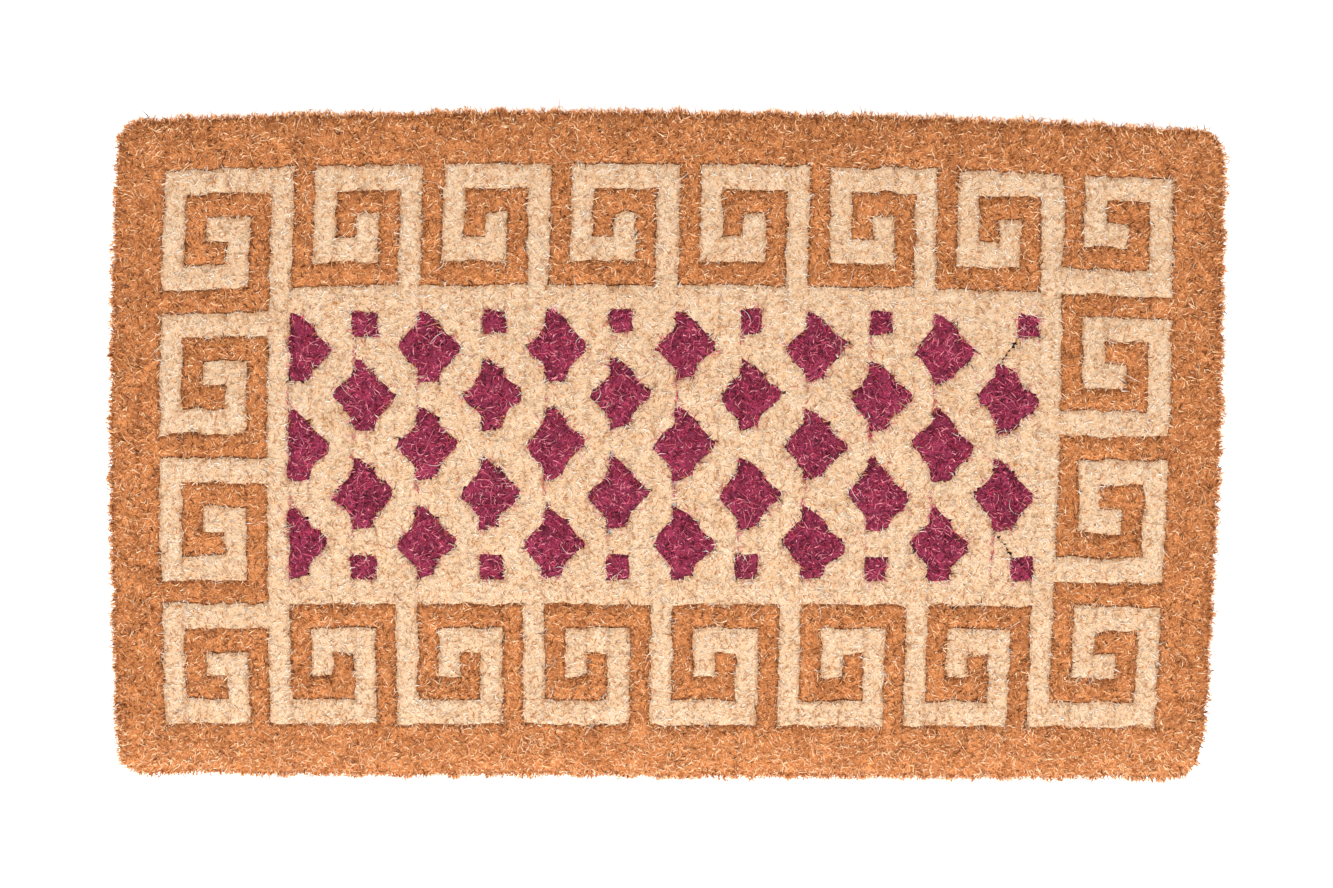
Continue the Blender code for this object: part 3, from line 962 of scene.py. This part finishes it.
def round_the_mat(columns_out, rows_out, corner, count):
    """Evenly spaced points on a rounded ring round the key, and their outward directions."""
    left, right = -columns_out, COLUMNS + columns_out
    top, bottom = -rows_out, ROWS + rows_out
    cells = []
    for column, row, start in (
        (left + corner, bottom - corner, 180),
        (right - corner, bottom - corner, 270),
        (right - corner, top + corner, 0),
        (left + corner, top + corner, 90),
    ):
        turn = np.radians(start + np.linspace(0, 90, CORNER_POINTS))
        arc = [column + corner * np.cos(turn), row - corner * np.sin(turn)]
        cells.append(np.stack(arc, axis=1))
    cells = np.concatenate(cells + [cells[0][:1]])
    fine = np.linspace(0, len(cells) - 1, FINE_POINTS)
    column = np.interp(fine, np.arange(len(cells)), cells[:, 0])
    row = np.interp(fine, np.arange(len(cells)), cells[:, 1])
    line = np.stack(place(column, row), axis=1)
    length = np.concatenate([[0], np.cumsum(np.linalg.norm(np.diff(line, axis=0), axis=1))])
    wanted = np.linspace(0, length[-1], count, endpoint=False)
    ring = np.stack([np.interp(wanted, length, values) for values in line.T], axis=1)
    heading = np.roll(ring, -1, axis=0) - np.roll(ring, 1, axis=0)
    heading /= np.linalg.norm(heading, axis=1, keepdims=True)
    return ring, np.stack([heading[:, 1], -heading[:, 0]], axis=1), length[-1]


OUTER_CORNER = 1.25
rim_ring, rim_out, rim_length = round_the_mat(BORDER_COLUMNS, BORDER_ROWS, OUTER_CORNER, 4800)
print("round the mat in mm:", round(1000 * rim_length))

# %% Place the tips of the rim
RIM_FIBRES = 26000
RIM_TUFT = 0.0125           # one fuller place in the outline to the next
RIM_FULLER = 0.0016
RIM_RAGGED = 0.0009
RIM_LOWEST = 0.08           # the lowest tips, as a share of the height of the pile
RIM_HANGS = 0.0028          # how far the lowest roots hang below the foot, on to the braid
RIM_TOP = BED_TOP + 0.0002

count = RIM_FIBRES
spot = rng.integers(0, len(rim_ring), count)
height = RIM_LOWEST + (1 - RIM_LOWEST) * rng.random(count) ** 0.7
swell = np.array([
    noise.noise(Vector((x, y, 0)) / RIM_TUFT)
    + 0.5 * noise.noise(Vector((x, y, 9)) / RIM_TUFT * 2.7)
    for x, y in rim_ring
]) * RIM_FULLER
strayed = wanders(*rim_ring.T)
drawn = RIM_SPLAY * (1 - height)
tip_out = swell[spot] + rng.normal(0, RIM_RAGGED, count) - drawn
tip_flat = rim_ring[spot] + strayed[spot] + rim_out[spot] * tip_out[:, None]
tip_z = PILE_FOOT + height * (RIM_TOP - PILE_FOOT)
rim_tip = np.concatenate([tip_flat, tip_z[:, None]], axis=1)
print("furthest tip out in mm:", round(1000 * tip_out.max(), 1))

# %% Sow the rim
RIM_LEAN = (9, 45, 9)       # degrees: at the foot, more at the top, and at random
RIM_SWAY = 0.35
RIM_LONGEST = 0.0100
RIM_SHORTER = 0.0040        # how much shorter the fibres at the top are
RIM_THICKNESS = (0.0006, 0.0011)
RIM_BEND = 0.14
RIM_TONE = 0.66
RIM_TONE_SPREAD = 0.22
RIM_MOOD = 0.2

lean = RIM_LEAN[0] + RIM_LEAN[1] * height ** 3 + rng.normal(0, RIM_LEAN[2], count)
lean = np.radians(lean)
sideways = np.stack([rim_out[spot][:, 1], -rim_out[spot][:, 0]], axis=1)
sway = sideways * rng.normal(0, RIM_SWAY, count)[:, None]
level = rim_out[spot] * np.sin(lean)[:, None] + sway
rim_along = np.concatenate([level, np.cos(lean)[:, None]], axis=1)
rim_along /= np.linalg.norm(rim_along, axis=1, keepdims=True)
rim_long = (RIM_LONGEST - RIM_SHORTER * height) * uneven(9.0, count, 0.5, 1.5)
rim_root = rim_tip - rim_along * rim_long[:, None]
rim_root[:, 2] = np.maximum(rim_root[:, 2], PILE_FOOT - RIM_HANGS)
rim_tone = RIM_TONE + rng.normal(0, RIM_TONE_SPREAD, count)
rim_tone = np.clip(rim_tone + RIM_MOOD * patchy(rim_root, 200.0, 5.0), 0, 1)
grow(
    NATURAL, "natural_rim", fibre_points, fibre_faces, rim_root, rim_along, rim_long,
    rng.uniform(*RIM_THICKNESS, count), rng.normal(0, RIM_BEND, count) * rim_long, rim_tone,
)
print("fibres round the rim:", count)

# %% [markdown]
# ### Strays
# Here and there one long fibre has worked loose and lies curled over the
# pile.  It is too long for the six-faced fibre, so a second one is modelled: a
# three-sided tube with rings all along it, tapered at both ends.

# %% Model one long fibre
STRAY_RINGS = 7
STRAY_END = 0.25            # how thick its ends are, of its middle

nothing_selected()
bpy.ops.mesh.primitive_cylinder_add(
    vertices=3, radius=0.5, depth=1, end_fill_type="TRIFAN", location=(0, 0, 0.5)
)
one_stray = name_piece("one_stray")
apply_place()
open_up(one_stray)
for step in range(1, STRAY_RINGS):
    bpy.ops.mesh.select_all(action="SELECT")
    bpy.ops.mesh.bisect(plane_co=(0, 0, step / STRAY_RINGS), plane_no=(0, 0, 1))
bpy.ops.mesh.select_all(action="SELECT")
bpy.ops.mesh.quads_convert_to_tris()
bpy.ops.object.mode_set(mode="OBJECT")
for vertex in one_stray.data.vertices:
    share = vertex.co.z
    slim = STRAY_END + (1 - STRAY_END) * math.sin(math.pi * share)
    vertex.co.x *= slim
    vertex.co.y *= slim
stray_points, stray_faces = take_pattern(one_stray)
print("points and faces of a long fibre:", len(stray_points), len(stray_faces))

# %% Lay the strays on the pile
STRAYS = 1500
STRAY_LIFT = 0.0019         # strays lie on top of the tips
STRAY_RISE = (1, 9)         # degrees
STRAY_LENGTH = (0.006, 0.017)
STRAY_THICKNESS = (0.00030, 0.00046)
STRAY_BEND = 0.22
PALE_STRAYS = 0.6           # the share of them that are pale
PALE_FROM = 0.75            # the tone that counts as pale
STRAY_SHARE = np.array([1.0, 0.8, 2.4])         # how readily each shade sheds

shedding = STRAY_SHARE[sown_shade]
picked = rng.choice(len(sown_root), STRAYS, replace=False, p=shedding / shedding.sum())
stray_root = sown_root[picked] + np.array([0, 0, STRAY_LIFT])
heading = rng.uniform(0, 2 * math.pi, STRAYS)
rise = np.radians(rng.uniform(*STRAY_RISE, STRAYS))
stray_along = pointing(heading, rise)
stray_length = rng.uniform(*STRAY_LENGTH, STRAYS)
pale = rng.random(STRAYS) < PALE_STRAYS
stray_tone = np.where(
    pale, rng.uniform(PALE_FROM, 1.0, STRAYS), rng.uniform(0.3, PALE_FROM, STRAYS)
)
for shade, shade_name in enumerate(SHADE_NAMES):
    chosen = np.flatnonzero(sown_shade[picked] == shade)
    grow(
        shade, f"{shade_name}_strays", stray_points, stray_faces, stray_root[chosen],
        stray_along[chosen], stray_length[chosen], rng.uniform(*STRAY_THICKNESS, len(chosen)),
        rng.normal(0, STRAY_BEND, len(chosen)) * stray_length[chosen], stray_tone[chosen],
        smooth=True,
    )
print("strays:", STRAYS)

# %% [markdown]
# ### Plum between the islands
# The plum fibre is carried along its weft row from one island to the next,
# and here and there a thin line of it shows between the bleached tufts.

# %% Sow the carried plum
LATTICE_FIRST = 6
LATTICE_STEP = 3
LATTICE_COLUMNS = 12
CARRIED_ROWS = (6.2, 16.8)
CARRIED_FIBRES = 170        # along one weft row
CARRIED_SHOWS = 0.02        # it shows only where a slow noise is over this
CARRIED_ASIDE = 0.0004
CARRIED_RISE = (15, 50)     # degrees
CARRIED_LENGTH = (0.0030, 0.0048)
CARRIED_THICKNESS = (0.0005, 0.0009)
CARRIED_BEND = 0.1
CARRIED_VEER = 0.4          # radians from the weft row
CARRIED_TONES = (0.45, 1.0)

line_column = np.repeat(LATTICE_FIRST + LATTICE_STEP * np.arange(LATTICE_COLUMNS), CARRIED_FIBRES)
line_row = rng.uniform(*CARRIED_ROWS, len(line_column))
line_x, line_y = place(line_column, line_row)
strayed = wanders(line_x, line_y)
line_x = line_x + strayed[:, 0] + rng.normal(0, CARRIED_ASIDE, len(line_x))
line_y = line_y + strayed[:, 1]
drops = drop_on_bed(line_x, line_y)
shows = patchy(np.stack([line_x, line_y], axis=1), 70.0, 8.0) > CARRIED_SHOWS
kept = np.array([
    drop[0] is not None and bed_shades[drop[2]] == BLEACHED and show
    for drop, show in zip(drops, shows)
])
line_root = np.array([drop[0][:] for drop, keep in zip(drops, kept) if keep])
count = len(line_root)
heading = math.pi / 2 * rng.choice([-1, 1], count) + rng.normal(0, CARRIED_VEER, count)
rise = np.radians(rng.uniform(*CARRIED_RISE, count))
line_along = pointing(heading, rise)
line_long = rng.uniform(*CARRIED_LENGTH, count)
grow(
    PLUM, "plum_carried", fibre_points, fibre_faces, line_root, line_along, line_long,
    rng.uniform(*CARRIED_THICKNESS, count), rng.normal(0, CARRIED_BEND, count) * line_long,
    rng.uniform(*CARRIED_TONES, count),
)
print("carried fibres that show:", count)

# %% [markdown]
# ### The palettes
# Tone picks the colour, from the darkest fibre to the palest, and the fibre
# darkens towards its root, where light hardly reaches.


# %% A palette for any fibre
def fibre_palette(name, root_shade, stops):
    """A fibre material that reads tone across and root-to-tip upwards."""
    material = new_material(name, 0.75)
    tree = material.node_tree
    chart = tree.nodes.new("ShaderNodeUVMap")
    chart.uv_map = "OFBake"
    parts = tree.nodes.new("ShaderNodeSeparateXYZ")
    tree.links.new(chart.outputs["UV"], parts.inputs[0])
    tones = tree.nodes.new("ShaderNodeValToRGB")
    while len(tones.color_ramp.elements) < len(stops):
        tones.color_ramp.elements.new(0.5)
    for element, (position, colour) in zip(tones.color_ramp.elements, stops):
        element.position = position
        element.color = (*colour, 1)
    tree.links.new(parts.outputs["X"], tones.inputs["Fac"])
    rooted = tree.nodes.new("ShaderNodeMapRange")
    rooted.inputs["From Max"].default_value = 0.6
    rooted.inputs["To Min"].default_value = root_shade
    tree.links.new(parts.outputs["Y"], rooted.inputs["Value"])
    shaded = tree.nodes.new("ShaderNodeVectorMath")
    shaded.operation = "SCALE"
    tree.links.new(tones.outputs["Color"], shaded.inputs[0])
    tree.links.new(rooted.outputs["Result"], shaded.inputs["Scale"])
    tree.links.new(shaded.outputs["Vector"], shader_of(material).inputs["Base Color"])
    return material


print("ready to make palettes")

# %% Make the three palettes
natural_fibre = fibre_palette("natural_fibre", 0.44, (
    (0.00, (0.07, 0.018, 0.005)),
    (0.22, (0.28, 0.084, 0.021)),
    (0.50, (0.585, 0.226, 0.065)),
    (0.75, (0.745, 0.355, 0.137)),
    (1.00, (0.93, 0.680, 0.430)),
))
bleached_fibre = fibre_palette("bleached_fibre", 0.80, (
    (0.00, (0.460, 0.175, 0.050)),
    (0.22, (0.545, 0.300, 0.128)),
    (0.50, (0.615, 0.460, 0.315)),
    (0.75, (0.675, 0.565, 0.445)),
    (1.00, (0.800, 0.745, 0.660)),
))
plum_fibre = fibre_palette("plum_fibre", 0.36, (
    (0.00, (0.035, 0.003, 0.007)),
    (0.22, (0.125, 0.009, 0.024)),
    (0.50, (0.395, 0.028, 0.071)),
    (0.75, (0.62, 0.064, 0.150)),
    (1.00, (0.85, 0.310, 0.370)),
))
for shade, material in enumerate((natural_fibre, bleached_fibre, plum_fibre)):
    for piece in tips[shade]:
        piece.data.materials.append(material)
print("palettes made")

# %% [markdown]
# ## The weave underneath
# The pile is knotted into a coarse coir weave that shows only from below.
# Each warp chain is a pair of yarns twisted round one another, half a turn
# from one weft row to the next, so that every weft row is gripped between the
# two.  A circle for each yarn, carried round and along by a Screw modifier,
# makes the pair; a straight bar would show none of this.

# %% Where the chains and the weft rows lie
BORDER_CHAINS = (0.42, 1.30)        # rows beyond the key
BORDER_WEFTS = (0.45, 1.35)         # columns beyond the key


def with_border(count, beyond):
    """The middle of each cell in a run of cells, with two more lines beyond each end."""
    near, far = beyond
    return [-far, -near] + [cell + 0.5 for cell in range(count)] + [count + near, count + far]


CHAIN_ROWS = with_border(ROWS, BORDER_CHAINS)
WEFT_COLUMNS = with_border(COLUMNS, BORDER_WEFTS)
CHAIN_START = -1.5          # the column where each chain starts
CHAIN_TURNS = 25            # a turn takes two columns, so each chain ends as far out
WEFT_HEIGHT = 0.0044        # middle of the weave over the floor
STEPS_PER_TURN = 10
YARN_THICK = 0.0029
YARN_ORBIT = 0.0028         # how far each yarn of a pair goes round the middle of the chain
PAIR_FLATTEN = 0.70         # how much the pair is squeezed sideways
SLACK = 0.0003              # how far a yarn sways from its line
print("chains:", len(CHAIN_ROWS), "weft rows:", len(WEFT_COLUMNS))

# %% Twist one pair of yarns
SAME_POINT = 0.00001        # points closer than this are merged

nothing_selected()
bpy.ops.mesh.primitive_circle_add(
    vertices=6, radius=YARN_THICK / 2, fill_type="NOTHING", location=(0, YARN_ORBIT, 0)
)
pair = name_piece("chain_pair")
apply_place()
open_up(pair)
bpy.ops.mesh.duplicate_move(TRANSFORM_OT_translate={"value": (0, -2 * YARN_ORBIT, 0)})
bpy.ops.object.mode_set(mode="OBJECT")
twist = pair.modifiers.new("twist", "SCREW")
twist.axis = "Z"
twist.angle = 2 * math.pi
twist.screw_offset = 1.0
twist.steps = STEPS_PER_TURN
twist.render_steps = STEPS_PER_TURN
twist.iterations = CHAIN_TURNS
twist.use_merge_vertices = False
bpy.ops.object.modifier_apply(modifier=twist.name)
open_up(pair)
bpy.ops.mesh.remove_doubles(threshold=SAME_POINT)
bpy.ops.mesh.fill_holes(sides=8)
face_out()
bpy.ops.object.shade_smooth()
print("faces in one pair:", len(pair.data.polygons), "turns long:", pair.dimensions.z)

# %% Lay a copy along each chain
chain_stuff = new_material("chain_yarn", 0.85)
# the first colour is a painted shade for the hollows between the yarn's fibres
finish_packed(chain_stuff, (0.13, 0.042, 0.014), (0.52, 0.23, 0.095), (0.22, 1, 1))
pair.data.materials.append(chain_stuff)
turned = points_of(pair.data)
for number, row in enumerate(CHAIN_ROWS):
    mesh = pair.data.copy()
    middle_x, middle_y = place(CHAIN_START + 2 * turned[:, 2], row)
    slack = SLACK * np.sin(turned[:, 2] * 9.0 + 2.3 * number)
    laid = np.stack([
        middle_x, middle_y + turned[:, 0] * PAIR_FLATTEN + slack, WEFT_HEIGHT + turned[:, 1],
    ], axis=1)
    mesh.vertices.foreach_set("co", laid.ravel())
    mesh.update()
    mesh.name = f"chain_yarns_{number + 1:02d}"
    chain = piece_of(mesh)
    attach(chain, "root")
    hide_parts(f"warp_chain_{number + 1:02d}")
bpy.data.objects.remove(pair, do_unlink=True)
print("chains laid:", len(CHAIN_ROWS))

# %% [markdown]
# ### The weft
# One long cord goes up one row and down the next, through every chain, and
# turns back at the edge.  A curve with a round bevel is all it needs.


# %% A cord along a line of points
def cord_piece(name, lines, radius, closed, material, resolution=1):
    """A closed round cord along each line of points, turned into one mesh."""
    curve = bpy.data.curves.new(name, "CURVE")
    curve.dimensions = "3D"
    curve.bevel_depth = radius
    curve.bevel_resolution = resolution
    curve.use_fill_caps = not closed
    for points in lines:
        spline = curve.splines.new("POLY")
        spline.points.add(len(points) - 1)
        spline.points.foreach_set("co", np.column_stack([points, np.ones(len(points))]).ravel())
        spline.use_cyclic_u = closed
    take(piece_of(curve))
    bpy.ops.object.convert(target="MESH")
    piece = name_piece(name)
    open_up(piece)
    bpy.ops.mesh.remove_doubles(threshold=SAME_POINT)
    face_out()
    bpy.ops.object.shade_smooth()
    piece.data.materials.clear()
    piece.data.materials.append(material)
    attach(piece, "root")
    return piece


# %% Weave the weft
WEFT_RADIUS = 0.0014
PASS_POINTS = 30
TURN_IN = 1.15              # where a pass starts to turn, in rows beyond the key
TURN_OUT = 1.38
TURN_SHARE = 0.22           # how far each side of a turn leans to the next row, of the pitch

weft_cells = []
for number, column in enumerate(WEFT_COLUMNS):
    rows = np.linspace(-TURN_IN, ROWS + TURN_IN, PASS_POINTS)
    ends = (-TURN_OUT, ROWS + TURN_OUT)
    if number % 2 == 0:
        rows = rows[::-1]
        ends = ends[::-1]
    if number > 0:
        weft_cells.append((column - TURN_SHARE * (column - WEFT_COLUMNS[number - 1]), ends[0]))
    weft_cells.extend((column, row) for row in rows)
    if number < len(WEFT_COLUMNS) - 1:
        weft_cells.append((column + TURN_SHARE * (WEFT_COLUMNS[number + 1] - column), ends[1]))
weft_cells = np.array(weft_cells)
weft_x, weft_y = place(weft_cells[:, 0], weft_cells[:, 1])
weft_x = weft_x + SLACK * np.sin(weft_cells[:, 1] * 2.1 + weft_cells[:, 0])
weft_stuff = new_material("weft_yarn", 0.85)
# the first colour is a painted shade for the hollows between the yarn's fibres
finish_packed(weft_stuff, (0.18, 0.07, 0.026), (0.56, 0.29, 0.13), (1, 0.22, 1))
weft_line = np.stack([weft_x, weft_y, np.full(len(weft_x), WEFT_HEIGHT)], axis=1)
weft = cord_piece("weft_yarn", [weft_line], WEFT_RADIUS, False, weft_stuff)
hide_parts("weft_cord")
weft_steps = np.linalg.norm(np.diff(weft_line, axis=0), axis=1)
print("weft length in m:", round(float(weft_steps.sum()), 1))

# %% [markdown]
# ### The knots
# Every tuft is a bunch of fibre bent under its weft row, one each side of the
# chain, so the design can be read from below too.  One bent bunch is
# modelled - a small flat section spun half round - and copied to each side of
# every crossing in the shade that grows there.

# %% Bend one bunch of fibre
KNOT_REACH = 0.0027         # half the way from leg to leg, over the weft cord
KNOT_DROP = 0.0062          # how far it hangs below the foot of the pile
KNOT_WIDE = 0.0016          # half its width along the weft
KNOT_THICK = 0.00042        # half its thickness where it turns
KNOT_SIDES = 5
KNOT_STEPS = 4

nothing_selected()
bpy.ops.mesh.primitive_circle_add(
    vertices=KNOT_SIDES, radius=1, fill_type="NGON", location=(KNOT_REACH, 0, 0)
)
one_knot = name_piece("one_knot")
one_knot.scale = (KNOT_THICK, KNOT_WIDE, 1)
bpy.ops.object.transform_apply(location=True, rotation=False, scale=True)
open_up(one_knot)
bpy.ops.mesh.spin(steps=KNOT_STEPS, angle=math.pi, center=(0, 0, 0), axis=(0, 1, 0))
bpy.ops.mesh.select_all(action="SELECT")
bpy.ops.mesh.normals_make_consistent(inside=False)
bpy.ops.mesh.quads_convert_to_tris()
bpy.ops.object.mode_set(mode="OBJECT")
knot_points, knot_faces = take_pattern(one_knot)
knot_points[:, 2] = -np.abs(knot_points[:, 2]) * KNOT_DROP / KNOT_REACH
knot_box = knot_points.max(axis=0) - knot_points.min(axis=0)
print("faces of one knot:", len(knot_faces), "size in mm:", (1000 * knot_box).round(1))

# %% Tie a knot each side of every crossing
KNOT_ASIDE = 0.29           # from the middle of the chain, in rows
KNOT_STRAYS = 0.03          # from the middle of the weft row, in columns
KNOT_TUCK = 0.0002          # how far its legs reach into the pile
KNOT_SIZES = (0.88, 1.08)

cross_column, cross_row = (grid.ravel() for grid in np.meshgrid(WEFT_COLUMNS, CHAIN_ROWS))
crossings = zip(cross_column, cross_row)
cross_shade = np.array([shade_at(*place(column, row)) for column, row in crossings])
knot_count = 0
for shade, shade_name in enumerate(SHADE_NAMES):
    chosen = np.flatnonzero(cross_shade == shade)
    column = np.repeat(cross_column[chosen], 2)
    column = column + rng.uniform(-KNOT_STRAYS, KNOT_STRAYS, 2 * len(chosen))
    row = np.repeat(cross_row[chosen], 2) + np.tile([-KNOT_ASIDE, KNOT_ASIDE], len(chosen))
    knot_x, knot_y = place(column, row)
    middle = np.stack([knot_x, knot_y, np.full(len(knot_x), PILE_FOOT + KNOT_TUCK)], axis=1)
    size = rng.uniform(*KNOT_SIZES, (len(middle), 1, 1))
    spot = (middle[:, None, :] + knot_points[None, :, :] * size).reshape(-1, 3)
    first = np.arange(len(middle)) * len(knot_points)
    index = (knot_faces[None] + first[:, None, None]).reshape(-1, 3)
    mesh = bpy.data.meshes.new(f"{shade_name}_knots")
    mesh.from_pydata(spot.tolist(), [], index.tolist())
    mesh.update()
    mesh.materials.append(bed_stuff[shade])
    knots = piece_of(mesh)
    take(knots)
    bpy.ops.object.shade_smooth()
    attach(knots, "root")
    knot_count += len(middle)
print("knots tied:", knot_count)

# %% [markdown]
# ## The plaited edge
# A flat plait of three coir strands runs right round under the rim, and a
# jute twine is whipped round it.  Each strand swings from side to side once a
# turn and up and down twice, a third of a turn behind the one before: that is
# all a plait is.

# %% Plait the braid
BRAID_COLUMNS = 2.05
BRAID_ROWS = 1.85
BRAID_CORNER = 0.58
BRAID_MIDDLE = 0.0040
PLAIT_TURN = 0.0165         # length of one turn of the plait
PLAIT_POINTS = 12
STRAND_RADIUS = 0.00135
STRAND_SWING = 0.0019
STRAND_LIFT = 0.00095

_, _, braid_length = round_the_mat(BRAID_COLUMNS, BRAID_ROWS, BRAID_CORNER, 100)
plait_turns = round(braid_length / PLAIT_TURN)
ring, out, _ = round_the_mat(BRAID_COLUMNS, BRAID_ROWS, BRAID_CORNER, plait_turns * PLAIT_POINTS)
turn = 2 * math.pi * np.arange(len(ring)) / PLAIT_POINTS
strands = []
for strand in range(3):
    swing = turn + strand * 2 * math.pi / 3
    flat = ring + out * (STRAND_SWING * np.sin(swing))[:, None]
    strands.append(np.column_stack([flat, BRAID_MIDDLE + STRAND_LIFT * np.sin(2 * swing)]))
braid_stuff = new_material("braid_yarn", 0.85)
# the first colour is a painted shade for the hollows between the strands' fibres
finish_packed(braid_stuff, (0.11, 0.034, 0.011), (0.47, 0.20, 0.080))
braid = cord_piece("braid", strands, STRAND_RADIUS, True, braid_stuff, 0)
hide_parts("edge_braid")
print("turns in the plait:", plait_turns)

# %% Whip the twine round it
WHIP_TURNS = 92
WHIP_POINTS = 16
TWINE_RADIUS = 0.00055
WHIP_WIDE = 0.0039
WHIP_HIGH = 0.0031

ring, out, _ = round_the_mat(BRAID_COLUMNS, BRAID_ROWS, BRAID_CORNER, WHIP_TURNS * WHIP_POINTS)
turn = 2 * math.pi * np.arange(len(ring)) / WHIP_POINTS
flat = ring + out * (WHIP_WIDE * np.cos(turn))[:, None]
twine_line = np.column_stack([flat, BRAID_MIDDLE + WHIP_HIGH * np.sin(turn)])
twine_stuff = new_material("jute_twine", 0.8)
# the first colour is a painted shade for the hollows between the twine's fibres
finish_packed(twine_stuff, (0.30, 0.18, 0.08), (0.68, 0.48, 0.28))
twine = cord_piece("twine", [twine_line], TWINE_RADIUS, True, twine_stuff, 0)
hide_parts("edge_stitching")
print("turns of twine:", WHIP_TURNS)
